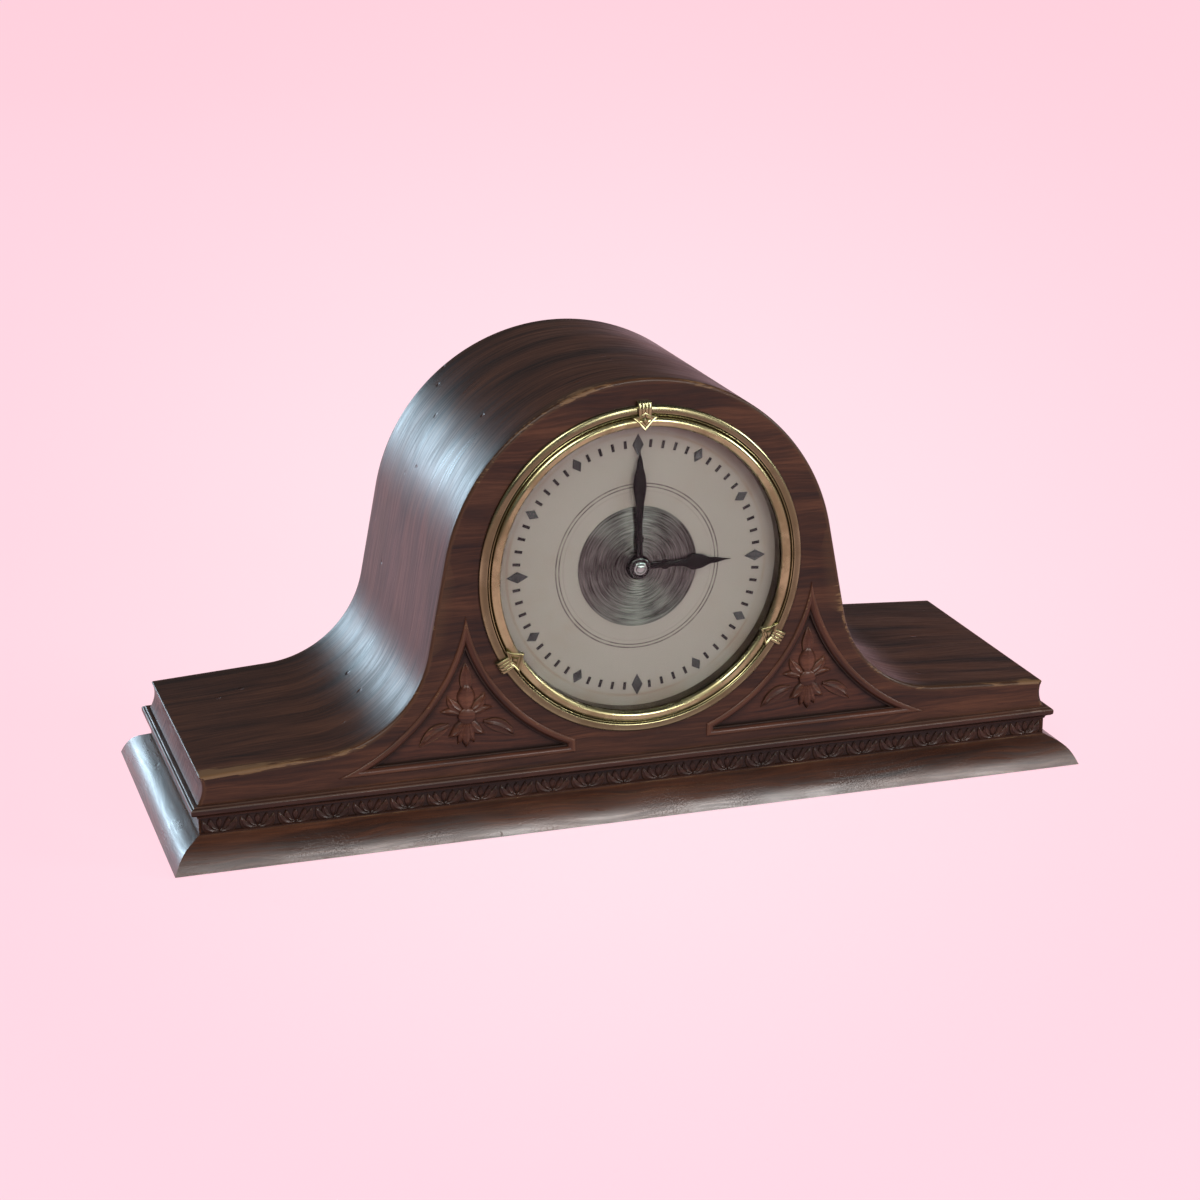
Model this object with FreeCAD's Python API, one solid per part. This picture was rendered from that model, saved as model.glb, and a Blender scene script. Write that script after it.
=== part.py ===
import FreeCAD, Part
import os
from math import atan2, cos, hypot, pi, radians, sin, sqrt, tan

# Tambour mantel clock with a back-wound eight-day lever movement, in millimetres.
# X runs along the clock, the dial faces -Y and Z is up. The origin is on the table, under the
# middle of the base. Depths are measured backwards from the front face of the front panel.

# Case sizes
case_depth = 143.0
case_half_width = 221.0
pad_stand = 0.8
base_top_z = 14.5
frieze_top_z = 25.5
ledge_top_z = 29.6
base_projection = 14.5
base_bulge = 1.35
frieze_thickness = 9.0
ledge_inner_depth = 20.0
ledge_projection = 3.8
ledge_nose_shares = ((0.0, 0.0), (0.45, 0.06), (0.88, 0.3), (1.0, 0.55), (0.92, 0.86), (0.7, 1.0))
carving_ground_depth = 1.8
carving_ground_margin = 1.0
lotus_pitch = 18.35
lotus_width = 15.6
lotus_rib = 3.4
lotus_count = 24
front_panel_thickness = 7.5
back_panel_thickness = 9.0
arris = 0.6
overrun = 1.0
same_point = 0.001

# Tambour outline
arch_margin = 17.6
arch_centre_drop = 4.8
flank_lean = 11.0
flank_cove_radius = 56.0
shoulder_fall = 3.4
shoulder_end_inset = 1.4
shoulder_end_z = 43.6
end_cove_depth = 1.8
band_thickness = 5.0
cheek_thickness = 12.0

# Pads and glue blocks
pad_radius = 8.0
pad_thickness = 1.6
pad_inset = 26.0
block_side = 12.0
block_length = 34.0
block_spacing = 125.0

# Spandrels
spandrel_gap = 7.6
spandrel_apex_drop = 14.4
spandrel_reach = 63.0
spandrel_rise = 5.3
spandrel_block_width = 4.3
spandrel_sweep_radius = 100.0
spandrel_side_width = 4.5
spandrel_bar_width = 3.6
spandrel_pocket_depth = 3.0
spandrel_stand = 0.9
spandrel_bevel = 0.7
rosette_inset = 1.4
rosette_rise = 24.1
rosette_radius = 4.3
rosette_height = 2.9
leaf_height = 1.5
leaf_rib_height = 2.1
leaf_rib_share = 0.45
spray_leaf_length = 27.4
spray_leaf_width = 7.6
# Leaves of the spandrel spray: angle, and shares of the longest length and the greatest width
spray_leaf_shares = (
    (91.0, 0.56, 0.97), (91.0, 0.99, 0.82), (123.0, 0.46, 0.63), (56.0, 0.46, 0.63),
    (163.0, 0.45, 0.5), (15.0, 0.45, 0.5), (231.0, 0.52, 0.66), (266.0, 0.56, 1.0),
    (305.0, 0.5, 0.66), (213.0, 1.0, 0.84), (331.0, 0.99, 0.84),
)

# Dial and bezel
dial_stand = 12.8
dial_lap = 4.2
dial_thickness = 1.2
dial_hole_radius = 3.4
opening_fit = 0.2
bezel_lap = 7.6
bezel_sight_radius = 71.8
bezel_height = 3.4
bezel_lip = 1.2
bezel_tube_wall = 1.6
bezel_seat_height = 0.9
bezel_back_gap = 0.2
bezel_outer_shares = ((0.0, 0.5), (0.08, 0.74), (0.26, 0.74), (0.35, 0.56), (0.43, 0.56))
bezel_bead_shares = ((0.46, 0.3), (0.6, 0.3), (0.65, 0.72), (0.76, 1.0), (0.88, 1.0), (1.0, 0.6))
glass_fit = 0.1
glass_thickness = 2.0
ring_clearance = 0.05
ornament_angles = (90.0, 210.0, 330.0)
ornament_half_angle = 4.4
ornament_lip = 1.8
ornament_foot_inset = 4.8
ornament_rise = 0.9
ornament_tip_reach = 1.0
ornament_leaf_half_width = 4.6
centre_disc_radius = 30.4
centre_disc_thickness = 0.5
marker_radius = 61.6
marker_length = 10.0
marker_short_length = 7.2
marker_half_width = 2.45
marker_thickness = 0.5
dial_screw_inset = 2.0
dial_screw_radius = 0.9
dial_screw_head_radius = 1.9
dial_screw_head = 1.1
dial_screw_length = 4.5
dial_screw_angles = (45.0, 135.0, 225.0, 315.0)

# Hands
hour_hand_gap = 0.8
hour_hand_thickness = 0.8
hour_hand_length = 47.7
hour_hand_half_width = 4.0
hour_hand_boss_radius = 6.3
hour_hand_shares = (
    (0.1, 0.36), (0.22, 0.34), (0.27, 0.52), (0.32, 0.36), (0.48, 0.34),
    (0.62, 1.0), (0.74, 0.66), (0.86, 0.26), (1.0, 0.05),
)
minute_hand_gap = 0.8
minute_hand_thickness = 0.7
minute_hand_length = 59.0
minute_hand_half_width = 3.5
minute_hand_boss_radius = 5.0
minute_hand_shares = (
    (0.08, 0.36), (0.2, 0.34), (0.25, 0.56), (0.3, 0.38), (0.5, 0.44), (0.62, 0.9),
    (0.69, 1.0), (0.76, 0.82), (0.88, 0.34), (1.0, 0.05),
)
nut_radius = 5.3
nut_step = 0.6
nut_dome_height = 1.0
nut_button_radius = 2.7
nut_button_height = 0.9

# Movement plates
dial_foot_length = 9.3
plate_thickness = 2.0
plate_gap = 26.0
plate_half_width = 38.0
plate_top = 48.0
plate_bottom = 61.0
plate_corner_radius = 6.0
pillar_x = 31.5
pillar_top = 41.5
pillar_bottom = 54.5
pillar_radius = 2.6
pillar_waist_radius = 1.9
pillar_waist_share = 0.22
nut_hex_radius = 3.6
nut_thickness = 2.2
stud_radius = 1.5
stud_end = 0.8
dial_foot_radius = 2.0

# Fits
running_fit = 0.04
plate_fit = 0.05
end_shake = 0.25
press_fit = 0.02

# Gear train: tooth counts and modules of each pair, and the angles of the arbors
great_teeth = 60
centre_leaves = 10
great_module = 0.84
centre_teeth = 56
third_leaves = 7
centre_module = 0.68
third_teeth = 60
fourth_leaves = 8
third_module = 0.55
fourth_teeth = 70
escape_leaves = 7
fourth_module = 0.45
cannon_leaves = 12
minute_teeth = 36
minute_module = 0.6
minute_leaves = 10
hour_teeth = 40
third_angle = 60.0
fourth_angle = 150.0
escape_angle = 200.0
lever_angle = 10.0
minute_wheel_angle = 225.0
wheel_addendum_share = 0.95
wheel_dedendum_share = 1.3
wheel_root_share = 0.62
wheel_tip_share = 0.26
leaf_addendum_share = 0.7
leaf_dedendum_share = 1.35
leaf_root_share = 0.48
leaf_tip_share = 0.24
wheel_rim = 2.2
wheel_arm = 2.2
wheel_hub_radius = 3.4
wheel_thickness = 1.4
pinion_overlap = 0.9
arbor_radius = 1.0
pivot_radius = 0.7
small_arbor_radius = 0.7
small_pivot_radius = 0.4
pivot_back = 0.2

# Going barrel
barrel_gap = 2.0
barrel_back_gap = 4.0
barrel_shoulder = 0.708
barrel_wall = 1.2
great_wheel_thickness = 2.5
barrel_arbor_radius = 3.2
barrel_pivot_radius = 2.6
barrel_collar_radius = 3.0
spring_thickness = 0.9
spring_pitch = 3.0
spring_turns = 5
spring_margin = 1.4
square_side = 3.6
square_length = 17.3

# Wheel levels
centre_pinion_gap = 1.4
centre_pinion_length = 3.7
centre_wheel_set = 6.0
centre_pipe_radius = 2.5
third_wheel_gap = 6.5
fourth_wheel_gap = 13.0
centre_arbor_radius = 1.5
centre_arbor_front_radius = 1.2
cannon_radius = 1.9
cannon_pinion_gap = 1.6
cannon_pinion_length = 2.6
hour_pipe_radius = 2.8
hour_wheel_gap = 2.9
minute_wheel_lap = 0.6
motion_wheel_thickness = 1.4
minute_stud_radius = 1.2

# Escapement
escape_radius = 8.0
escape_root_radius = 6.2
escape_rim_radius = 5.2
escape_hub_radius = 1.7
escape_count = 15
escape_lead = 9.0
escape_tip = 2.4
escape_arm = 1.0
escape_gap = 3.0
escape_thickness = 0.9
pallet_span = 30.0
pallet_gap = 0.3
pallet_length = 1.3
pallet_width = 1.0
pallet_arm = 1.0
lever_length = 13.5
lever_width = 1.3
fork_half_width = 1.8
fork_length = 1.7
fork_slot = 1.0
fork_clearance = 1.5
lever_hub_radius = 1.1
roller_radius = 2.6
roller_pin_radius = 0.35
roller_pin_circle = 2.1
roller_thickness = 0.8
roller_gap = 1.0
pin_gap = 0.15
banking_radius = 0.5
banking_reach = 8.0
banking_clearance = 0.15
lever_swing = 3.0
bridge_gap = 2.5
bridge_thickness = 1.3
bridge_half_width = 2.2
bridge_foot_out = 11.4
bridge_foot_side = 8.6
balance_radius = 12.0
balance_rim = 1.6
balance_gap = 2.3
balance_thickness = 1.6
balance_arm = 1.8
balance_hub_radius = 2.0
cock_gap = 3.4
cock_thickness = 2.0
cock_foot_radius = 3.4
cock_foot_out = 17.5
cock_angle = 35.0
cock_arm_radius = 2.6
hairspring_gap = 1.1
hairspring_height = 0.5
hairspring_thickness = 0.24
hairspring_inner_radius = 2.3
hairspring_pitch = 1.4
hairspring_turns = 4
hairspring_stud_radius = 0.5

# Winding and setting work
ratchet_radius = 9.5
ratchet_root_radius = 8.2
ratchet_count = 24
ratchet_gap = 0.7
ratchet_thickness = 1.6
click_angle = 40.0
click_circle = 15.0
click_nose_angle = 77.0
click_nose_circle = 11.6
click_nose_half_angle = 5.5
click_gap = 0.15
click_arm_radius = 1.2
click_hub_radius = 2.3
click_screw_radius = 1.2
click_head_radius = 2.2
click_head_height = 1.0
click_spring_width = 0.5
click_spring_gap = 0.5
click_spring_foot_circle = 24.0
click_spring_foot_angle = 60.0
click_spring_foot_radius = 1.5
click_spring_reach_share = 0.35
key_pipe_radius = 3.6
key_gap = 2.7
key_pipe_length = 19.0
key_wing_radius = 7.6
key_wing_hole_radius = 4.2
key_wing_offset = 8.6
key_wing_rise = 6.0
key_thickness = 2.4
square_clearance = 0.05
setting_knob_radius = 7.0
setting_knob_groove = 0.35
setting_knob_ribs = 20
setting_knob_gap = 5.0
setting_knob_length = 5.0
setting_boss_radius = 3.0
setting_arbor_stand = 1.0

# Back door and its fittings
door_half_width = 58.0
door_bottom_z = 62.0
door_spring_z = 118.0
door_gap = 0.7
hinge_knuckle_radius = 1.7
hinge_pin_radius = 0.8
hinge_leaf_thickness = 0.9
hinge_leaf_width = 11.0
hinge_height = 18.0
hinge_low_rise = 14.0
hinge_high_rise = 42.0
hinge_knuckle_gap = 0.15
hinge_pin_head = 0.6
hinge_screw_radius = 1.5
hinge_screw_head = 0.4
hinge_screw_share = 0.56
hinge_screw_rise = 5.2
knob_inset = 10.0
knob_rise = 30.0
knob_foot_radius = 3.6
knob_neck_radius = 1.9
knob_head_radius = 4.6
knob_height = 10.5
knob_height_shares = (0.14, 0.42, 0.72, 1.0)
button_offset = 8.5
button_rise = 50.0
button_long = 15.0
button_short = 6.0
button_half_width = 3.4
button_thickness = 1.7
button_lift = 0.3
button_screw_radius = 1.5
button_head_radius = 2.8
button_head_height = 1.0
screw_length = 6.0
stop_width = 11.0
stop_lap = 4.0
stop_depth = 5.0
stop_height = 46.0
stop_gap = 0.2

# Places worked out from the sizes above, on the case and round the dial
panel_face_y = -case_depth / 2
panel_back_depth = case_depth - back_panel_thickness
shoulder_end_x = case_half_width - shoulder_end_inset
bezel_tube_inner_radius = bezel_sight_radius + bezel_lip
bezel_tube_outer_radius = bezel_tube_inner_radius + bezel_tube_wall
opening_radius = bezel_tube_outer_radius + opening_fit
bezel_outer_radius = opening_radius + bezel_lap
glass_radius = bezel_tube_inner_radius - glass_fit
dial_radius = opening_radius + dial_lap
dial_screw_circle = dial_radius - dial_screw_inset
dial_centre_z = ledge_top_z + bezel_outer_radius + dial_stand
arch_radius = bezel_outer_radius + arch_margin
arch_centre_z = dial_centre_z - arch_centre_drop
spandrel_inner_radius = bezel_outer_radius + spandrel_gap
spandrel_apex_z = dial_centre_z - spandrel_apex_drop
spandrel_tip_x = spandrel_inner_radius + spandrel_reach
spandrel_bottom_z = ledge_top_z + spandrel_rise
rosette_x = spandrel_inner_radius - rosette_inset
rosette_z = spandrel_bottom_z + rosette_rise
ornament_outer_radius = bezel_outer_radius + ornament_lip
ornament_inner_radius = bezel_outer_radius - ornament_foot_inset
ornament_tip_radius = bezel_sight_radius - ornament_tip_reach
ornament_height = bezel_height + ornament_rise
button_x = door_half_width + button_offset
button_z = door_bottom_z + button_rise
knob_x = door_half_width - knob_inset
knob_z = door_bottom_z + knob_rise

# Depths worked out from the sizes above, from the hands to the winding work
dial_depth = front_panel_thickness
hour_hand_depth = dial_depth - centre_disc_thickness - hour_hand_gap - hour_hand_thickness
minute_hand_depth = hour_hand_depth - minute_hand_gap - minute_hand_thickness
front_plate_depth = dial_depth + dial_thickness + dial_foot_length
plate_inside_front = front_plate_depth + plate_thickness
back_plate_depth = plate_inside_front + plate_gap
plate_outside_back = back_plate_depth + plate_thickness
hour_wheel_depth = dial_depth + dial_thickness + hour_wheel_gap
cannon_pinion_depth = hour_wheel_depth + motion_wheel_thickness + cannon_pinion_gap
minute_wheel_depth = cannon_pinion_depth + minute_wheel_lap
centre_pinion_depth = plate_inside_front + centre_pinion_gap
centre_wheel_depth = back_plate_depth - centre_wheel_set
third_wheel_depth = plate_inside_front + third_wheel_gap
fourth_wheel_depth = plate_inside_front + fourth_wheel_gap
barrel_depth = plate_inside_front + barrel_gap
barrel_height = centre_wheel_depth - barrel_back_gap - barrel_depth
barrel_radius = great_teeth * great_module / 2 - wheel_dedendum_share * great_module - barrel_shoulder
escape_depth = plate_outside_back + escape_gap
bridge_depth = escape_depth + escape_thickness + bridge_gap
balance_depth = bridge_depth + bridge_thickness + balance_gap
hairspring_depth = balance_depth + balance_thickness + hairspring_gap
cock_depth = balance_depth + balance_thickness + cock_gap
ratchet_depth = plate_outside_back + ratchet_gap
square_end_depth = ratchet_depth + square_length
key_start_depth = ratchet_depth + ratchet_thickness + key_gap
key_pipe_end_depth = key_start_depth + key_pipe_length
key_wing_depth = key_pipe_end_depth + key_wing_rise
setting_knob_depth = plate_outside_back + setting_knob_gap
setting_arbor_end_depth = setting_knob_depth + setting_knob_length + setting_arbor_stand
Y_AXIS = FreeCAD.Vector(0, 1, 0)
Z_AXIS = FreeCAD.Vector(0, 0, 1)
nodes = {}


def at(x, depth, z):
    """Point at a depth behind the front panel's face."""
    return FreeCAD.Vector(x, panel_face_y + depth, z)


def polar(origin, distance, angle):
    """Place at a distance and an angle in degrees from an origin, seen from the front."""
    return (origin[0] + distance * cos(radians(angle)), origin[1] + distance * sin(radians(angle)))


def outline(points, depth=0.0):
    """Closed face in the plane of one depth. A point of four values is the middle and end of an arc."""
    return Part.Face(Part.Wire(path_edges(list(points) + [points[0]], lambda x, z: at(x, depth, z))))


def path_edges(points, place):
    """Lines and arcs through the points, each put in space by place."""
    edges = []
    here = place(*points[0][-2:])
    for point in points[1:]:
        end = place(*point[-2:])
        if len(point) == 4:
            edges.append(Part.Arc(here, place(point[0], point[1]), end).toShape())
        elif not here.isEqual(end, same_point):
            edges.append(Part.LineSegment(here, end).toShape())
        here = end
    return edges


def slab(points, start, end):
    """Outline between two depths."""
    return outline(points, start).extrude(FreeCAD.Vector(0, end - start, 0))


def rod(place, radius, start, end):
    """Cylinder between two depths."""
    return Part.makeCylinder(radius, end - start, at(place[0], start, place[1]), Y_AXIS)


def tube(place, outer, inner, start, end):
    """Ring between two depths."""
    return rod(place, outer, start, end).cut(rod(place, inner, start, end))


def turned(points, place):
    """Profile of radius and depth, turned about the fore-and-aft line through a place."""
    edges = path_edges(list(points) + [points[0]], lambda r, depth: at(place[0] + r, depth, place[1]))
    return Part.Face(Part.Wire(edges)).revolve(at(place[0], 0, place[1]), Y_AXIS, 360)


def cap(radius, rim, top):
    """Middle and end of the rounded top of a turned profile, from its rim to the axis."""
    ball = (radius**2 + (top - rim) ** 2) / (2 * (top - rim))
    half = atan2(abs(top - rim), radius)
    return (abs(ball) * sin(half), top - ball * (1 - cos(half)), 0, top)


def box(x_low, x_high, depth_low, depth_high, z_low, z_high):
    """Block between three pairs of limits."""
    size = (x_high - x_low, depth_high - depth_low, z_high - z_low)
    return Part.makeBox(*size, at(x_low, depth_low, z_low))


def capsule(start, end, radius, low, high):
    """Bar with round ends from one place to another, between two depths."""
    run = atan2(end[1] - start[1], end[0] - start[0])
    side = (radius * -sin(run), radius * cos(run))
    corners = [
        (start[0] + side[0], start[1] + side[1]), (end[0] + side[0], end[1] + side[1]),
        (end[0] - side[0], end[1] - side[1]), (start[0] - side[0], start[1] - side[1]),
    ]
    return join(slab(corners, low, high), rod(start, radius, low, high), rod(end, radius, low, high))


def join(first, *others):
    """One solid from touching or overlapping solids."""
    return first.fuse(list(others)).removeSplitter() if others else first


def mirrored(shape):
    """The same shape on the other side of the clock."""
    return shape.mirror(FreeCAD.Vector(0, 0, 0), FreeCAD.Vector(1, 0, 0))


def both_sides(shape):
    """A pair of solids, one on each side of the clock."""
    return [shape, mirrored(shape)]


def add(name, *shapes):
    """Keep a node with its solids, beside any that it holds already."""
    held = nodes[name].Solids if name in nodes else []
    nodes[name] = Part.Compound(held + [solid for shape in shapes for solid in shape.Solids])


def front_edges(shape, depth):
    """Edges that lie in the plane of one depth."""
    y = panel_face_y + depth
    near = same_point
    return [e for e in shape.Edges if abs(e.BoundBox.YMin - y) < near and abs(e.BoundBox.YMax - y) < near]


# Outline of the tambour case
def flank(inset):
    """Joining points of the right flank: arch, straight, cove and shoulder, moved inwards by an inset."""
    lean = radians(flank_lean)
    fall = radians(shoulder_fall)
    arch = arch_radius - inset
    sweep = flank_cove_radius + inset
    across = arch_centre_z * sin(lean) + arch + sweep
    along = shoulder_end_x * sin(fall) + shoulder_end_z * cos(fall) - inset + sweep
    spread = cos(lean) * cos(fall) - sin(lean) * sin(fall)
    centre_x = (across * cos(fall) - sin(lean) * along) / spread
    centre_z = (cos(lean) * along - across * sin(fall)) / spread
    middle = (lean + pi / 2 - fall) / 2
    return {
        "arch": (arch * cos(lean), arch_centre_z + arch * sin(lean)),
        "high": (centre_x - sweep * cos(lean), centre_z - sweep * sin(lean)),
        "middle": (centre_x - sweep * cos(middle), centre_z - sweep * sin(middle)),
        "low": (centre_x - sweep * sin(fall), centre_z - sweep * cos(fall)),
    }


def crown(inset, reach):
    """Top line of the case from its right end to its left end, moved inwards by an inset."""
    point = flank(inset)
    fall = radians(shoulder_fall)
    end_z = shoulder_end_z + (shoulder_end_x - reach) * tan(fall) - inset / cos(fall)
    right = [(reach, end_z), point["low"], point["middle"] + point["high"], point["arch"]]
    top = (0, arch_centre_z + arch_radius - inset, -point["arch"][0], point["arch"][1])
    left_cove = (-point["middle"][0], point["middle"][1], -point["low"][0], point["low"][1])
    left_high = (-point["high"][0], point["high"][1])
    return right + [top, left_high, left_cove, (-reach, end_z)]


def case_outline():
    """Front outline of the upper case with its coved ends."""
    cove_x = (case_half_width + shoulder_end_x) / 2 - end_cove_depth
    cove_z = (ledge_top_z + shoulder_end_z) / 2
    foot = [(-case_half_width, ledge_top_z), (case_half_width, ledge_top_z)]
    right_end = [(cove_x, cove_z, shoulder_end_x, shoulder_end_z)]
    left_end = [(-cove_x, cove_z, -case_half_width, ledge_top_z)]
    return foot + right_end + crown(0, shoulder_end_x)[1:] + left_end


def circle_z(centre, radius, x, sign):
    """Height where a circle meets an upright line."""
    return centre[1] + sign * sqrt(radius**2 - (x - centre[0]) ** 2)


def circle_x(centre, radius, z, sign):
    """Side place where a circle meets a level line."""
    return centre[0] + sign * sqrt(radius**2 - (z - centre[1]) ** 2)


def circles_meet(first, first_radius, second, second_radius):
    """Lower of the two places where two circles meet."""
    span = hypot(second[0] - first[0], second[1] - first[1])
    along = (span**2 + first_radius**2 - second_radius**2) / (2 * span)
    away = sqrt(first_radius**2 - along**2)
    ux = (second[0] - first[0]) / span
    uz = (second[1] - first[1]) / span
    places = [(first[0] + along * ux - s * away * uz, first[1] + along * uz + s * away * ux) for s in (1, -1)]
    return min(places, key=lambda place: place[1])


def chord_centre(start, end, radius):
    """Centre of the circle through two places, on the right of the way from start to end."""
    run = (end[0] - start[0], end[1] - start[1])
    span = hypot(*run)
    rise = sqrt(radius**2 - (span / 2) ** 2)
    middle = ((start[0] + end[0]) / 2, (start[1] + end[1]) / 2)
    return (middle[0] + rise * run[1] / span, middle[1] - rise * run[0] / span)


def arc_middle(centre, radius, start, end):
    """Middle of the shorter arc between two places on a circle."""
    way = ((start[0] + end[0]) / 2 - centre[0], (start[1] + end[1]) / 2 - centre[1])
    scale = radius / hypot(*way)
    return (centre[0] + way[0] * scale, centre[1] + way[1] * scale)


# Base, frieze and ledge
def strip(profile, along_ends, inner):
    """Mitred moulding from a profile of outward reach and height, along the front or an end."""
    reach = max(point[-2] for point in profile)
    half_depth = case_depth / 2
    long_half = half_depth if along_ends else case_half_width
    short_half = case_half_width if along_ends else half_depth
    low = min(point[-1] for point in profile) - overrun
    high = max(point[-1] for point in profile) + overrun

    def place(side, out, z):
        return FreeCAD.Vector(out, side, z) if along_ends else FreeCAD.Vector(side, -out, z)

    section = path_edges(list(profile) + [profile[0]], lambda s, z: place(-long_half - reach, short_half + s, z))
    length = place(2 * (long_half + reach), 0, 0)
    bar = Part.Face(Part.Wire(section)).extrude(length)
    plan = [
        place(-long_half - reach, short_half + reach, low), place(long_half + reach, short_half + reach, low),
        place(long_half - inner, short_half - inner, low), place(-long_half + inner, short_half - inner, low),
    ]
    wedge = Part.Face(Part.makePolygon(plan + plan[:1])).extrude(FreeCAD.Vector(0, 0, high - low))
    return bar.common(wedge)


def turned_round(shape):
    """The same strip on the opposite side of the clock."""
    copy = shape.copy()
    copy.rotate(FreeCAD.Vector(0, 0, 0), Z_AXIS, 180)
    return copy


def make_base():
    board = box(-case_half_width, case_half_width, 0, case_depth, pad_stand, base_top_z)
    pads = []
    for x in (-case_half_width + pad_inset, case_half_width - pad_inset):
        for depth in (pad_inset, case_depth - pad_inset):
            pad = Part.makeCylinder(pad_radius, pad_thickness, at(x, depth, 0), Z_AXIS)
            board = board.cut(pad)
            pads.append(pad)
    add("felt_pads", *pads)
    add("base_board", board)
    bulge = (base_projection + sqrt(2) * base_bulge) / 2
    rise = (base_top_z - pad_stand) / base_projection
    profile = [
        (0, pad_stand), (base_projection, pad_stand), (bulge, pad_stand + bulge * rise, 0, base_top_z),
    ]
    front = strip(profile, False, 0)
    end = strip(profile, True, 0)
    add("base_moulding", front, turned_round(front), end, turned_round(end))


def lotus_cutters():
    """Cutters that leave two spreading leaves and a bud on the frieze for each motif."""
    low = base_top_z + carving_ground_margin
    high = frieze_top_z - carving_ground_margin
    tall = high - low
    cutters = []
    for number in range(lotus_count):
        x = (number - (lotus_count - 1) / 2) * lotus_pitch
        half = lotus_width / 2
        rib = lotus_rib / 2
        for side in (1, -1):
            cup = [
                (x + side * rib, low + tall / 4), (x + side * half * 2 / 3, low + tall / 3), (x + side * half, high),
                (x + side * rib, high),
            ]
            cutters.append(slab(cup, -overrun, carving_ground_depth))
        gap = (lotus_pitch - lotus_width) / 2
        foot = [(x + half + gap - rib, low), (x + half + gap + rib, low), (x + half + gap, low + tall / 2)]
        if number < lotus_count - 1:
            cutters.append(slab(foot, -overrun, carving_ground_depth))
    return cutters


def make_frieze():
    profile = [
        (-frieze_thickness, base_top_z), (0, base_top_z), (0, frieze_top_z), (-frieze_thickness, frieze_top_z),
    ]
    front = strip(profile, False, frieze_thickness)
    add("frieze_front", front.cut(lotus_cutters()))
    end = strip(profile, True, frieze_thickness)
    add("frieze_plain", turned_round(front), end, turned_round(end))


def make_ledge():
    height = ledge_top_z - frieze_top_z
    nose = [(ledge_projection * s, frieze_top_z + height * h) for s, h in ledge_nose_shares]
    profile = [(-ledge_inner_depth, frieze_top_z)] + nose + [(-ledge_inner_depth, ledge_top_z)]
    front = strip(profile, False, ledge_inner_depth)
    end = strip(profile, True, ledge_inner_depth)
    add("ledge_moulding", front, turned_round(front), end, turned_round(end))
    blocks = []
    for x in (-block_spacing, 0, block_spacing):
        low = x - block_length / 2
        high = x + block_length / 2
        for face, way in ((front_panel_thickness, 1), (panel_back_depth, -1)):
            corner = [
                at(low, face, ledge_top_z), at(low, face + way * block_side, ledge_top_z),
                at(low, face, ledge_top_z + block_side),
            ]
            wedge = Part.Face(Part.makePolygon(corner + corner[:1]))
            blocks.append(wedge.extrude(FreeCAD.Vector(high - low, 0, 0)))
    add("glue_blocks", *blocks)


# Spandrels
def spandrel_outline(inset):
    """Three-sided outline beside the dial, on the right, moved inwards by an inset share of its borders."""
    dial = (0, dial_centre_z)
    apex_x = circle_x(dial, spandrel_inner_radius, spandrel_apex_z, 1)
    sweep = chord_centre((spandrel_tip_x, spandrel_bottom_z), (apex_x, spandrel_apex_z), spandrel_sweep_radius)
    inner = spandrel_inner_radius + inset * spandrel_side_width
    outer = spandrel_sweep_radius + inset * spandrel_side_width
    low = spandrel_bottom_z + inset * spandrel_bar_width
    apex = circles_meet(dial, inner, sweep, outer)
    tip = (circle_x(sweep, outer, low, -1), low)
    heel_x = circle_x(dial, inner, low, 1)
    if not inset:
        pocket = spandrel_inner_radius + spandrel_side_width
        heel_x = circle_x(dial, pocket, spandrel_bottom_z + spandrel_bar_width, 1) - spandrel_block_width
    heel = (heel_x, circle_z(dial, inner, heel_x, -1))
    across = arc_middle(sweep, outer, tip, apex)
    round_dial = arc_middle(dial, inner, apex, heel)
    return [(heel_x, low), tip, across + apex, round_dial + heel]


def leaf(base, angle, length, width, low, high):
    """Pointed leaf from a base place, between two depths."""
    tip = polar(base, length, angle)
    middle = polar(base, length * leaf_rib_share, angle)
    left = polar(middle, width / 2, angle + 90)
    right = polar(middle, width / 2, angle - 90)
    return slab([base, left, tip, right], low, high)


def make_spandrels():
    floor = spandrel_pocket_depth
    ring = slab(spandrel_outline(0), -spandrel_stand, floor).cut(slab(spandrel_outline(1), -spandrel_stand, floor))
    ring = ring.makeChamfer(spandrel_bevel, front_edges(ring, -spandrel_stand))
    centre = (rosette_x, rosette_z)
    parts = [rod(centre, rosette_radius, floor - leaf_rib_height, floor)]
    for angle, length_share, width_share in spray_leaf_shares:
        reach = spray_leaf_length * length_share
        width = spray_leaf_width * width_share
        parts.append(leaf(centre, angle, reach, width, floor - leaf_height, floor))
        if reach < spray_leaf_length / 2:
            continue
        parts.append(leaf(centre, angle, reach, width * leaf_rib_share, floor - leaf_rib_height, floor))
    rim = floor - leaf_rib_height
    dome = [(0, floor), (rosette_radius, floor), (rosette_radius, rim), cap(rosette_radius, rim, floor - rosette_height)]
    spray = join(turned(dome, centre), *parts)
    add("spandrel_frames", *both_sides(ring))
    add("spandrel_carvings", *both_sides(spray))


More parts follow.
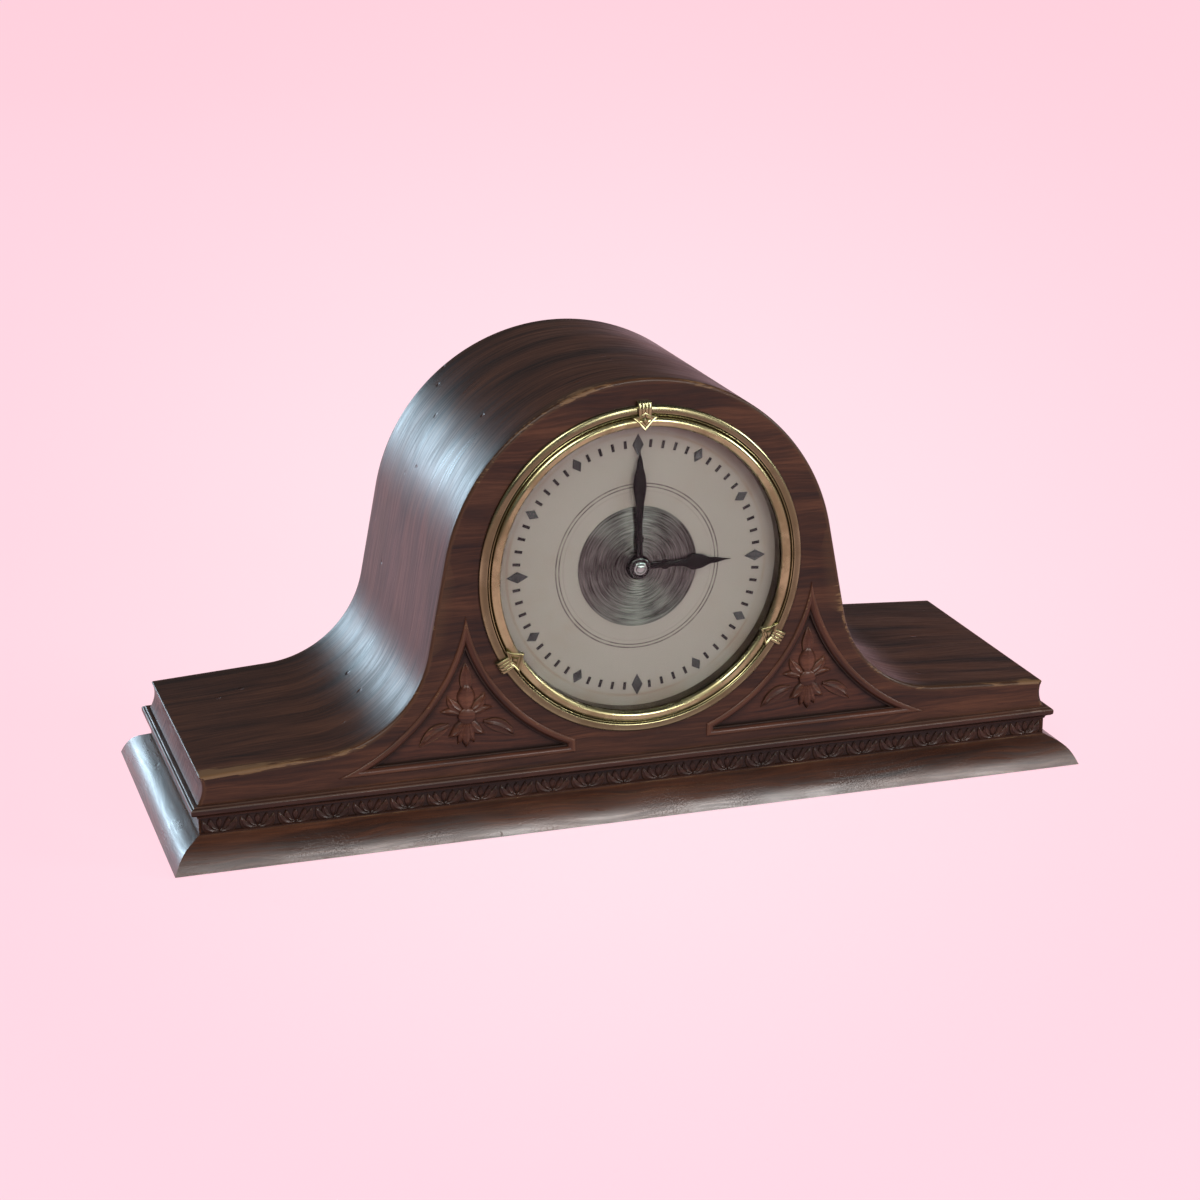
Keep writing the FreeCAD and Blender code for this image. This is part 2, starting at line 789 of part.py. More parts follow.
# Upper case
def make_case():
    panel = slab(case_outline(), 0, front_panel_thickness)
    rim = [e for e in front_edges(panel, 0) if e.BoundBox.ZMax > ledge_top_z + arris]
    panel = panel.makeChamfer(arris, rim)
    panel = panel.cut(rod((0, dial_centre_z), opening_radius, -overrun, front_panel_thickness + overrun))
    pocket = slab(spandrel_outline(0), -overrun, spandrel_pocket_depth)
    panel = panel.cut(both_sides(pocket))
    for angle in dial_screw_angles:
        place = polar((0, dial_centre_z), dial_screw_circle, angle)
        hole = rod(place, dial_screw_radius + press_fit, front_panel_thickness - dial_screw_length, dial_depth + overrun)
        panel = panel.cut(hole)
    add("front_panel", panel)

    back = slab(case_outline(), panel_back_depth, case_depth)
    rim = [e for e in front_edges(back, case_depth) if e.BoundBox.ZMax > ledge_top_z + arris]
    back = back.makeChamfer(arris, rim).cut(slab(door_outline(0), panel_back_depth - overrun, case_depth + overrun))
    back = back.cut(rod((button_x, button_z), button_screw_radius + press_fit, case_depth - screw_length, case_depth))
    add("back_panel", back)

    middle = slab(case_outline(), front_panel_thickness, panel_back_depth)
    reach = case_half_width + overrun
    under = crown(band_thickness, reach) + [(-reach, 0), (reach, 0)]
    below = slab(under, front_panel_thickness, panel_back_depth)
    add("case_band", middle.cut(below))
    cheek_x = shoulder_end_x - cheek_thickness
    cheek_zone = box(cheek_x, reach, front_panel_thickness, panel_back_depth, ledge_top_z, shoulder_end_z)
    cheek = middle.common(below).common(cheek_zone)
    add("end_cheeks", *both_sides(cheek))


# Dial, bezel and glass
def bezel_points(shares):
    """Points of the bezel's face from shares of its width and height."""
    width = bezel_outer_radius - bezel_sight_radius
    points = []
    for share in shares:
        point = []
        for number, value in enumerate(share):
            point.append(-bezel_height * value if number % 2 else bezel_outer_radius - width * value)
        points.append(tuple(point))
    return points


def make_bezel():
    dial = (0, dial_centre_z)
    profile = [(bezel_outer_radius, 0)] + bezel_points(bezel_outer_shares) + bezel_points(bezel_bead_shares)
    profile += [
        (bezel_sight_radius, -bezel_seat_height), (bezel_tube_inner_radius, -bezel_seat_height),
        (bezel_tube_inner_radius, dial_depth - bezel_back_gap), (bezel_tube_outer_radius, dial_depth - bezel_back_gap),
        (bezel_tube_outer_radius, 0),
    ]
    bezel = turned(profile, dial)
    add("bezel", bezel)
    ties = []
    for angle in ornament_angles:
        spread = (angle - ornament_half_angle, angle + ornament_half_angle)
        corners = [
            polar(dial, ornament_inner_radius, spread[0]), polar(dial, ornament_outer_radius, spread[0]),
            polar(dial, ornament_outer_radius, angle) + polar(dial, ornament_outer_radius, spread[1]),
            polar(dial, ornament_inner_radius, spread[1]),
        ]
        tie = slab(corners, -ornament_height, 0)
        foot = polar(dial, ornament_inner_radius, angle)
        point = [polar(dial, ornament_tip_radius, angle)]
        point += [polar(foot, side * ornament_leaf_half_width, angle + 90) for side in (1, -1)]
        leaf_body = slab(point, -ornament_height, -bezel_seat_height)
        ties.append(join(tie, leaf_body).cut(bezel))
    add("bezel_ornaments", *ties)
    glass_front = -bezel_seat_height
    glass_back = glass_front + glass_thickness
    add("dial_glass", rod(dial, glass_radius, glass_front, glass_back))
    ring_start = glass_back + ring_clearance
    ring_end = dial_depth - ring_clearance
    add("glass_ring", tube(dial, glass_radius, bezel_sight_radius, ring_start, ring_end))


def diamond(place, angle, length, half_width, low, high):
    """Four-sided hour marker pointing to the dial's centre."""
    corners = [
        polar(place, length / 2, angle), polar(place, half_width, angle + 90),
        polar(place, -length / 2, angle), polar(place, -half_width, angle + 90),
    ]
    return slab(corners, low, high)


def corner_places():
    """Places of the four pillars, seen from the front."""
    places = []
    for x in (-pillar_x, pillar_x):
        places.append((x, dial_centre_z + pillar_top))
        places.append((x, dial_centre_z - pillar_bottom))
    return places


def make_dial():
    dial = (0, dial_centre_z)
    back = dial_depth + dial_thickness
    plate = tube(dial, dial_radius, dial_hole_radius, dial_depth, back)
    screws = []
    for angle in dial_screw_angles:
        place = polar(dial, dial_screw_circle, angle)
        plate = plate.cut(rod(place, dial_screw_radius + press_fit, dial_depth, back))
        shank = rod(place, dial_screw_radius, front_panel_thickness - dial_screw_length, back)
        screws.append(join(shank, rod(place, dial_screw_head_radius, back, back + dial_screw_head)))
    add("dial_plate", plate)
    add("wood_screws", *screws)
    disc_front = dial_depth - centre_disc_thickness
    add("centre_disc", tube(dial, centre_disc_radius, dial_hole_radius, disc_front, dial_depth))
    markers = []
    for hour in range(12):
        angle = 30 * hour
        length = marker_length if hour % 3 == 0 else marker_short_length
        place = polar(dial, marker_radius, angle)
        low = dial_depth - marker_thickness
        markers.append(diamond(place, angle, length, marker_half_width, low, dial_depth))
    add("hour_markers", *markers)
    add("dial_feet", *[rod(place, dial_foot_radius, back, front_plate_depth) for place in corner_places()])


def hand(shares, length, half_width, boss_radius, hole_radius, angle, low, high):
    """Spade hand from shares of its length and half width, pointing at an angle."""
    dial = (0, dial_centre_z)
    right = [polar(polar(dial, length * s, angle), half_width * w, angle - 90) for s, w in shares]
    left = [polar(polar(dial, length * s, angle), half_width * w, angle + 90) for s, w in reversed(shares)]
    blade = slab(right + left, low, high)
    return join(blade, rod(dial, boss_radius, low, high)).cut(rod(dial, hole_radius, low - overrun, high + overrun))


def make_hands():
    dial = (0, dial_centre_z)
    hour_end = hour_hand_depth + hour_hand_thickness
    minute_end = minute_hand_depth + minute_hand_thickness
    add("hour_hand", hand(
        hour_hand_shares, hour_hand_length, hour_hand_half_width, hour_hand_boss_radius,
        hour_pipe_radius + press_fit, 0, hour_hand_depth, hour_end,
    ))
    add("minute_hand", hand(
        minute_hand_shares, minute_hand_length, minute_hand_half_width, minute_hand_boss_radius,
        centre_arbor_front_radius + press_fit, 90, minute_hand_depth, minute_end,
    ))
    front = minute_hand_depth
    step = front - nut_step
    dome = step - nut_dome_height
    profile = [
        (0, front), (nut_radius, front), (nut_radius, step),
        ((nut_radius + nut_button_radius) / 2 + nut_step / 2, dome + nut_step / 4, nut_button_radius, dome),
        cap(nut_button_radius, dome, dome - nut_button_height),
    ]
    nut = turned(profile, dial)
    add("hand_nut", nut.cut(rod(dial, centre_arbor_front_radius + press_fit, step, front + overrun)))


# Wheels
def gear(place, teeth, module, start, end, phase, leaves=False):
    """Toothed disc between two depths, with a tooth at the phase angle."""
    pitch = teeth * module / 2
    addendum = leaf_addendum_share if leaves else wheel_addendum_share
    dedendum = leaf_dedendum_share if leaves else wheel_dedendum_share
    root_share = leaf_root_share if leaves else wheel_root_share
    tip_share = leaf_tip_share if leaves else wheel_tip_share
    step = 360 / teeth
    root = pitch - dedendum * module
    tip = pitch + addendum * module
    points = []
    for number in range(teeth):
        angle = phase + number * step
        points.append(polar(place, root, angle - root_share * step / 2))
        points.append(polar(place, tip, angle - tip_share * step / 2))
        points.append(polar(place, tip, angle + tip_share * step / 2))
        points.append(polar(place, root, angle + root_share * step / 2))
    return slab(points, start, end)


def crossings(place, outer, inner, arms, arm_width, start, end, turn=0.0):
    """Openings between the arms of a wheel."""
    ring = tube(place, outer, inner, start, end)
    bars = [capsule(place, polar(place, outer, turn + 360 / arms * n), arm_width / 2, start, end) for n in range(arms)]
    return ring.cut(bars)


def wheel(place, teeth, module, start, thickness, phase, arms=4, turn=0.0):
    """Wheel with a rim and arms."""
    body = gear(place, teeth, module, start, start + thickness, phase)
    inner_rim = teeth * module / 2 - wheel_dedendum_share * module - wheel_rim
    return body.cut(crossings(place, inner_rim, wheel_hub_radius, arms, wheel_arm, start, start + thickness, turn))


def arbor(place, radius, pivot, start, end, pivot_start, pivot_end):
    """Shaft with a thinner pivot at each end."""
    return join(rod(place, radius, start, end), rod(place, pivot, pivot_start, pivot_end))


def gap_phase(angle, teeth):
    """Phase that turns a gap between teeth towards an angle."""
    return angle + 180 / teeth


centre_place = (0, dial_centre_z)
barrel_place = polar(centre_place, (great_teeth + centre_leaves) * great_module / 2, -90)
third_place = polar(centre_place, (centre_teeth + third_leaves) * centre_module / 2, third_angle)
fourth_place = polar(third_place, (third_teeth + fourth_leaves) * third_module / 2, fourth_angle)
escape_place = polar(fourth_place, (fourth_teeth + escape_leaves) * fourth_module / 2, escape_angle)
lever_place = polar(escape_place, escape_radius / cos(radians(pallet_span)), lever_angle)
balance_place = polar(lever_place, lever_length, lever_angle)
minute_distance = (cannon_leaves + minute_teeth) * minute_module / 2
minute_place = polar(centre_place, minute_distance, minute_wheel_angle)
hour_module = 2 * minute_distance / (minute_leaves + hour_teeth)


def plate_outline(grow=0.0):
    """Rounded outline of the movement plates."""
    x = plate_half_width + grow
    r = plate_corner_radius
    top = dial_centre_z + plate_top
    low = dial_centre_z - plate_bottom
    k = r * (1 - cos(pi / 4))
    return [
        (-x + r, low), (x - r, low), (x - k, low + k, x, low + r), (x, top - r), (x - k, top - k, x - r, top),
        (-x + r, top), (-x + k, top - k, -x, top - r), (-x, low + r), (-x + k, low + k, -x + r, low),
    ]


def make_plates():
    start = front_plate_depth
    front = slab(plate_outline(), start, start + plate_thickness)
    back = slab(plate_outline(), back_plate_depth, plate_outside_back)
    through = [
        (centre_place, centre_arbor_radius, True, True), (barrel_place, barrel_pivot_radius, True, True),
        (third_place, pivot_radius, True, True), (fourth_place, pivot_radius, True, True),
        (escape_place, small_pivot_radius, True, False), (escape_place, small_arbor_radius, False, True),
        (lever_place, small_pivot_radius, False, True), (balance_place, small_pivot_radius, False, True),
    ]
    for place, radius, in_front, in_back in through:
        if in_front:
            front = front.cut(rod(place, radius + plate_fit, start - overrun, start + plate_thickness + overrun))
        if in_back:
            back = back.cut(rod(place, radius + plate_fit, back_plate_depth - overrun, plate_outside_back + overrun))
    pillars = []
    nuts = []
    for place in corner_places():
        back = back.cut(rod(place, stud_radius + press_fit, back_plate_depth - overrun, plate_outside_back + overrun))
        low = start + plate_thickness
        collar = plate_gap * pillar_waist_share
        stud_tip = plate_outside_back + nut_thickness + stud_end
        pillars.append(join(
            rod(place, pillar_radius, low, low + collar), rod(place, pillar_waist_radius, low, back_plate_depth),
            rod(place, pillar_radius, back_plate_depth - collar, back_plate_depth), rod(place, stud_radius, low, stud_tip),
        ))
        hexagon = [polar(place, nut_hex_radius, 60 * n) for n in range(6)]
        body = slab(hexagon, plate_outside_back, plate_outside_back + nut_thickness)
        nuts.append(body.cut(rod(place, stud_radius + press_fit, plate_outside_back, plate_outside_back + nut_thickness)))
    stud_start = hour_wheel_depth - end_shake
    front = join(front, rod(minute_place, minute_stud_radius, stud_start, start))
    add("movement_front_plate", front)
    add("plate_pillars", *pillars)
    add("pillar_nuts", *nuts)
    for side in (1, -1):
        place = polar(polar(lever_place, banking_reach, lever_angle), side * banking_offset(), lever_angle + 90)
        pin = rod(place, banking_radius, plate_outside_back, escape_depth + escape_thickness)
        back = join(back, pin)
    add("movement_back_plate", back)


def banking_offset():
    """Distance of each banking pin from the lever's middle line."""
    return lever_width / 2 + banking_reach * sin(radians(lever_swing)) + banking_clearance + banking_radius


def make_barrel():
    start = barrel_depth
    end = start + barrel_height
    bore = barrel_pivot_radius + running_fit
    cover_start = end - barrel_wall
    teeth = gear(barrel_place, great_teeth, great_module, start, start + great_wheel_thickness, 90)
    drum = join(teeth, rod(barrel_place, barrel_radius, start, end))
    drum = drum.cut(rod(barrel_place, barrel_radius - barrel_wall, start + barrel_wall, end + overrun))
    add("going_barrel", drum.cut(rod(barrel_place, bore, start - overrun, end)))
    add("barrel_cover", tube(barrel_place, barrel_radius - barrel_wall - press_fit, bore, cover_start, end))
    room = barrel_radius - barrel_wall - spring_margin / 2
    coil = ribbon(
        barrel_place, room - spring_pitch * spring_turns, spring_pitch, spring_turns, spring_thickness,
        start + spring_margin + barrel_wall, cover_start - spring_margin, 0,
    )
    add("mainspring", coil)
    shaft = join(
        rod(barrel_place, barrel_arbor_radius, start + barrel_wall + end_shake, cover_start - end_shake),
        rod(barrel_place, barrel_pivot_radius, front_plate_depth + pivot_back, ratchet_depth + ratchet_thickness),
        square(barrel_place, square_side, ratchet_depth, square_end_depth),
    )
    collar = rod(barrel_place, barrel_collar_radius, plate_inside_front + end_shake, start - end_shake)
    add("barrel_arbor", join(shaft, collar))


def square(place, side, start, end):
    """Square bar between two depths."""
    half = side / 2
    return box(place[0] - half, place[0] + half, start, end, place[1] - half, place[1] + half)


def ribbon(place, inner, pitch, turns, thickness, start, end, turn):
    """Flat spiral spring of half-turn arcs from its inner end outwards."""
    walls = {1: [], -1: []}
    radius = inner
    centre = place
    angle = turn
    for _ in range(2 * turns):
        for side, wall in walls.items():
            rim = radius + side * thickness / 2
            wall.append((polar(centre, rim, angle), polar(centre, rim, angle + 90), polar(centre, rim, angle + 180)))
        centre = polar(centre, pitch / 2, angle)
        radius += pitch / 2
        angle += 180
    points = [walls[1][0][0]] + [arc[1] + arc[2] for arc in walls[1]]
    points += [walls[-1][-1][2]] + [arc[1] + arc[0] for arc in reversed(walls[-1])]
    return slab(points, start, end)


# Going train and motion work
def make_train():
    mesh = plate_inside_front + end_shake
    last = back_plate_depth - end_shake
    front_pivot = front_plate_depth + pivot_back
    back_pivot = plate_outside_back - pivot_back
    bore = rod(centre_place, centre_arbor_radius + running_fit, mesh, last)
    pinion_phase = gap_phase(-90, centre_leaves)
    pinion_end = centre_pinion_depth + centre_pinion_length
    pinion = gear(centre_place, centre_leaves, great_module, centre_pinion_depth, pinion_end, pinion_phase, True)
    pipe = rod(centre_place, centre_pipe_radius, mesh, centre_wheel_depth + wheel_thickness + wheel_thickness)
    body = wheel(centre_place, centre_teeth, centre_module, centre_wheel_depth, wheel_thickness, third_angle)
    add("centre_wheel", join(pinion, pipe, body).cut(bore))

    third_pinion = gear(
        third_place, third_leaves, centre_module, centre_wheel_depth - pinion_overlap,
        centre_wheel_depth + wheel_thickness + pinion_overlap, gap_phase(third_angle + 180, third_leaves), True,
    )
    body = wheel(third_place, third_teeth, third_module, third_wheel_depth, wheel_thickness, fourth_angle)
    shaft = arbor(third_place, arbor_radius, pivot_radius, mesh, last, front_pivot, back_pivot)
    add("third_wheel", join(third_pinion, body, shaft))

    fourth_pinion = gear(
        fourth_place, fourth_leaves, third_module, third_wheel_depth - pinion_overlap,
        third_wheel_depth + wheel_thickness + pinion_overlap, gap_phase(fourth_angle + 180, fourth_leaves), True,
    )
    body = wheel(fourth_place, fourth_teeth, fourth_module, fourth_wheel_depth, wheel_thickness, escape_angle)
    shaft = arbor(fourth_place, arbor_radius, pivot_radius, mesh, last, front_pivot, back_pivot)
    add("fourth_wheel", join(fourth_pinion, body, shaft))


def make_motion_work():
    reach = cannon_pinion_depth + cannon_pinion_length
    shoulder = front_plate_depth - end_shake
    add("centre_arbor", join(
        rod(centre_place, centre_arbor_front_radius, minute_hand_depth - nut_step, shoulder),
        rod(centre_place, centre_arbor_radius, shoulder, setting_arbor_end_depth),
    ))
    phase = gap_phase(minute_wheel_angle, cannon_leaves)
    leaves = gear(centre_place, cannon_leaves, minute_module, cannon_pinion_depth, reach, phase, True)
    pipe = rod(centre_place, cannon_radius, minute_hand_depth + minute_hand_thickness, shoulder)
    bore = rod(centre_place, centre_arbor_front_radius + press_fit, 0, front_plate_depth)
    add("cannon_pinion", join(leaves, pipe).cut(bore))

    end = minute_wheel_depth + motion_wheel_thickness
    teeth = gear(minute_place, minute_teeth, minute_module, minute_wheel_depth, end, minute_wheel_angle + 180)
    low = hour_wheel_depth - end_shake
    phase = gap_phase(minute_wheel_angle + 180, minute_leaves)
    leaves = gear(minute_place, minute_leaves, hour_module, low, minute_wheel_depth, phase, True)
    bore = rod(minute_place, minute_stud_radius + running_fit, 0, front_plate_depth)
    add("minute_wheel", join(teeth, leaves).cut(bore))

    end = hour_wheel_depth + motion_wheel_thickness
    teeth = gear(centre_place, hour_teeth, hour_module, hour_wheel_depth, end, minute_wheel_angle)
    pipe = rod(centre_place, hour_pipe_radius, hour_hand_depth, end)
    bore = rod(centre_place, cannon_radius + running_fit, 0, front_plate_depth)
    add("hour_wheel", join(teeth, pipe).cut(bore))


# Escapement, on the outside of the back plate
def make_escape_wheel():
    step = 360 / escape_count
    points = []
    for number in range(escape_count):
        angle = lever_angle + pallet_span / 2 + number * step
        points.append(polar(escape_place, escape_root_radius, angle))
        points.append(polar(escape_place, escape_radius, angle + escape_lead))
        points.append(polar(escape_place, escape_radius, angle + escape_lead + escape_tip))
        points.append(polar(escape_place, escape_root_radius, angle + escape_lead + escape_tip / 2))
    end = escape_depth + escape_thickness
    body = slab(points, escape_depth, end)
    ring = tube(escape_place, escape_rim_radius, escape_hub_radius, escape_depth, end)
    bars = [capsule(escape_place, polar(escape_place, escape_rim_radius, 90 * n), escape_arm / 2, escape_depth, end)
            for n in range(4)]
    body = body.cut(ring.cut(bars))
    leaves = gear(
        escape_place, escape_leaves, fourth_module, fourth_wheel_depth - pinion_overlap,
        fourth_wheel_depth + wheel_thickness + pinion_overlap, gap_phase(escape_angle + 180, escape_leaves), True,
    )
    shaft = arbor(
        escape_place, small_arbor_radius, small_pivot_radius, plate_inside_front + end_shake,
        bridge_depth - end_shake, front_plate_depth + pivot_back, bridge_depth + bridge_thickness - pivot_back,
    )
    add("escape_wheel", join(body, leaves, shaft))


def lever_point(along, side):
    """Place measured from the lever's pivot towards the balance."""
    return polar(polar(lever_place, along, lever_angle), side, lever_angle + 90)


def make_lever():
    low = escape_depth
    high = escape_depth + escape_thickness
    fork_end = lever_length - fork_clearance
    fork_start = fork_end - fork_length
    half = lever_width / 2
    slot = fork_slot / 2
    right = [(0, half), (fork_start, slot + slot / 2), (fork_start, fork_half_width), (fork_end, fork_half_width)]
    right += [(fork_end, slot), (fork_start + slot, slot)]
    points = [lever_point(u, -v) for u, v in right] + [lever_point(u, v) for u, v in reversed(right)]
    parts = [slab(points, low, high), rod(lever_place, lever_hub_radius, low, high)]
    for side in (1, -1):
        angle = lever_angle + side * pallet_span
        inner = escape_radius + pallet_gap
        seat = polar(escape_place, inner + pallet_length, angle)
        parts.append(capsule(lever_place, seat, pallet_arm / 2, low, high))
        near = polar(escape_place, inner, angle)
        across = pallet_width / 2
        stone = [
            polar(near, across, angle + 90), polar(seat, across, angle + 90),
            polar(seat, across, angle - 90), polar(near, across, angle - 90),
        ]
        parts.append(slab(stone, low, high))
    parts.append(arbor(
        lever_place, small_arbor_radius, small_pivot_radius, plate_outside_back + end_shake,
        bridge_depth - end_shake, back_plate_depth + pivot_back, bridge_depth + bridge_thickness - pivot_back,
    ))
    add("pallet_lever", join(*parts))

    end = bridge_depth + bridge_thickness
    foot = polar(escape_place, bridge_foot_out, lever_angle + 180)
    side_foot = lever_point(0, bridge_foot_side)
    bridge = join(
        capsule(foot, lever_place, bridge_half_width, bridge_depth, end),
        capsule(lever_place, side_foot, bridge_half_width, bridge_depth, end),
        rod(foot, bridge_half_width, plate_outside_back, bridge_depth),
        rod(side_foot, bridge_half_width, plate_outside_back, bridge_depth),
    )
    for place in (escape_place, lever_place):
        bridge = bridge.cut(rod(place, small_pivot_radius + plate_fit, bridge_depth - overrun, end + overrun))
    add("lever_bridge", bridge)


def make_balance():
    end = balance_depth + balance_thickness
    rim = tube(balance_place, balance_radius, balance_radius - balance_rim, balance_depth, end)
    reach = balance_radius - balance_rim / 2
    bar = capsule(
        polar(balance_place, reach - balance_arm / 2, lever_angle), polar(balance_place, balance_arm / 2 - reach, lever_angle),
        balance_arm / 2, balance_depth, end,
    )
    roller_end = escape_depth + escape_thickness + roller_gap + roller_thickness
    roller_start = roller_end - roller_thickness
    pin_place = polar(balance_place, -roller_pin_circle, lever_angle)
    cock_end = cock_depth + cock_thickness
    balance = join(
        rim, bar, rod(balance_place, balance_hub_radius, balance_depth, end),
        rod(balance_place, roller_radius, roller_start, roller_end),
        rod(pin_place, roller_pin_radius, escape_depth + escape_thickness + pin_gap, roller_start),
        arbor(
            balance_place, small_arbor_radius, small_pivot_radius, plate_outside_back + end_shake,
            cock_depth - end_shake, back_plate_depth + pivot_back, cock_end - pivot_back,
        ),
    )
    add("balance_wheel", balance)

    outer = hairspring_inner_radius + hairspring_pitch * hairspring_turns
    stud = polar(balance_place, outer + hairspring_stud_radius + hairspring_thickness, cock_angle)
    foot = polar(balance_place, cock_foot_out, cock_angle)
    cock = join(
        rod(foot, cock_foot_radius, plate_outside_back, cock_end),
        capsule(foot, balance_place, cock_arm_radius, cock_depth, cock_end),
        rod(stud, hairspring_stud_radius, hairspring_depth, cock_depth),
    )
    cock = cock.cut(rod(balance_place, small_pivot_radius + plate_fit, cock_depth - overrun, cock_end + overrun))
    add("balance_cock", cock)
    coil = ribbon(
        balance_place, hairspring_inner_radius, hairspring_pitch, hairspring_turns, hairspring_thickness,
        hairspring_depth, hairspring_depth + hairspring_height, cock_angle,
    )
    add("hairspring", coil)


# Winding and setting work
def click_place():
    """Pivot of the click."""
    return polar(barrel_place, click_circle, click_angle)


def make_winding():
    end = ratchet_depth + ratchet_thickness
    step = 360 / ratchet_count
    points = []
    for number in range(ratchet_count):
        angle = click_nose_angle + number * step
        points.append(polar(barrel_place, ratchet_radius, angle))
        points.append(polar(barrel_place, ratchet_root_radius, angle + step / 8))
    body = slab(points, ratchet_depth, end)
    add("ratchet_wheel", body.cut(rod(barrel_place, barrel_pivot_radius + press_fit, ratchet_depth, end)))

    pivot = click_place()
    nose = polar(barrel_place, click_nose_circle, click_nose_angle)
    tip = polar(barrel_place, ratchet_radius + click_gap, click_nose_angle)
    wedge = [
        polar(barrel_place, click_nose_circle, click_nose_angle + click_nose_half_angle),
        polar(barrel_place, click_nose_circle, click_nose_angle - click_nose_half_angle), tip,
    ]
    arm = join(
        capsule(pivot, nose, click_arm_radius, ratchet_depth, end), rod(pivot, click_hub_radius, ratchet_depth, end),
        slab(wedge, ratchet_depth, end),
    )
    add("click", arm.cut(rod(pivot, click_screw_radius + running_fit, ratchet_depth, end)))
    head_start = end + end_shake
    screw = join(
        rod(pivot, click_screw_radius, plate_outside_back, head_start),
        rod(pivot, click_head_radius, head_start, head_start + click_head_height),
    )
    add("click_screw", screw)
    foot = polar(barrel_place, click_spring_foot_circle, click_spring_foot_angle)
    along = (nose[0] - pivot[0], nose[1] - pivot[1])
    length = hypot(*along)
    angle = atan2(along[1], along[0]) * 180 / pi
    touch = polar(pivot, click_spring_reach_share * length, angle)
    touch = polar(touch, click_hub_radius + click_spring_gap + click_spring_width / 2, angle - 90)
    spring = join(
        capsule(foot, touch, click_spring_width / 2, ratchet_depth, end),
        rod(foot, click_spring_foot_radius, plate_outside_back, end),
    )
    add("click_spring", spring)


def make_key():
    middle = barrel_place
    pipe = rod(middle, key_pipe_radius, key_start_depth, key_pipe_end_depth)
    web = box(
        -key_wing_offset, key_wing_offset, key_pipe_end_depth - key_pipe_radius, key_wing_depth + key_pipe_radius,
        middle[1] - key_thickness / 2, middle[1] + key_thickness / 2,
    )
    wings = []
    holes = []
    for side in (1, -1):
        place = at(side * key_wing_offset, key_wing_depth, middle[1] - key_thickness / 2)
        wings.append(Part.makeCylinder(key_wing_radius, key_thickness, place, Z_AXIS))
        holes.append(Part.makeCylinder(key_wing_hole_radius, key_thickness, place, Z_AXIS))
    key = join(pipe, web, *wings).cut(holes)
    socket = square(middle, square_side + 2 * square_clearance, key_start_depth, square_end_depth + square_clearance)
    add("winding_key", key.cut(socket))

    points = []
    step = 360 / setting_knob_ribs
    for number in range(setting_knob_ribs):
        points.append(polar(centre_place, setting_knob_radius, number * step))
        points.append(polar(centre_place, setting_knob_radius - setting_knob_groove, number * step + step / 2))
    knob_end = setting_knob_depth + setting_knob_length
    boss_start = plate_outside_back + end_shake
    knob = join(
        slab(points, setting_knob_depth, knob_end), rod(centre_place, setting_boss_radius, boss_start, setting_knob_depth),
    )
    add("setting_knob", knob.cut(rod(centre_place, centre_arbor_radius + press_fit, boss_start, knob_end)))


# Back door
def door_outline(gap):
    """Arched outline of the door opening, moved inwards by a gap."""
    half = door_half_width - gap
    top = door_spring_z + door_half_width - gap
    return [
        (-half, door_bottom_z + gap), (half, door_bottom_z + gap), (half, door_spring_z),
        (0, top, -half, door_spring_z),
    ]


def upright(x, depth, radius, low, high):
    """Upright cylinder between two heights."""
    return Part.makeCylinder(radius, high - low, at(x, depth, low), Z_AXIS)


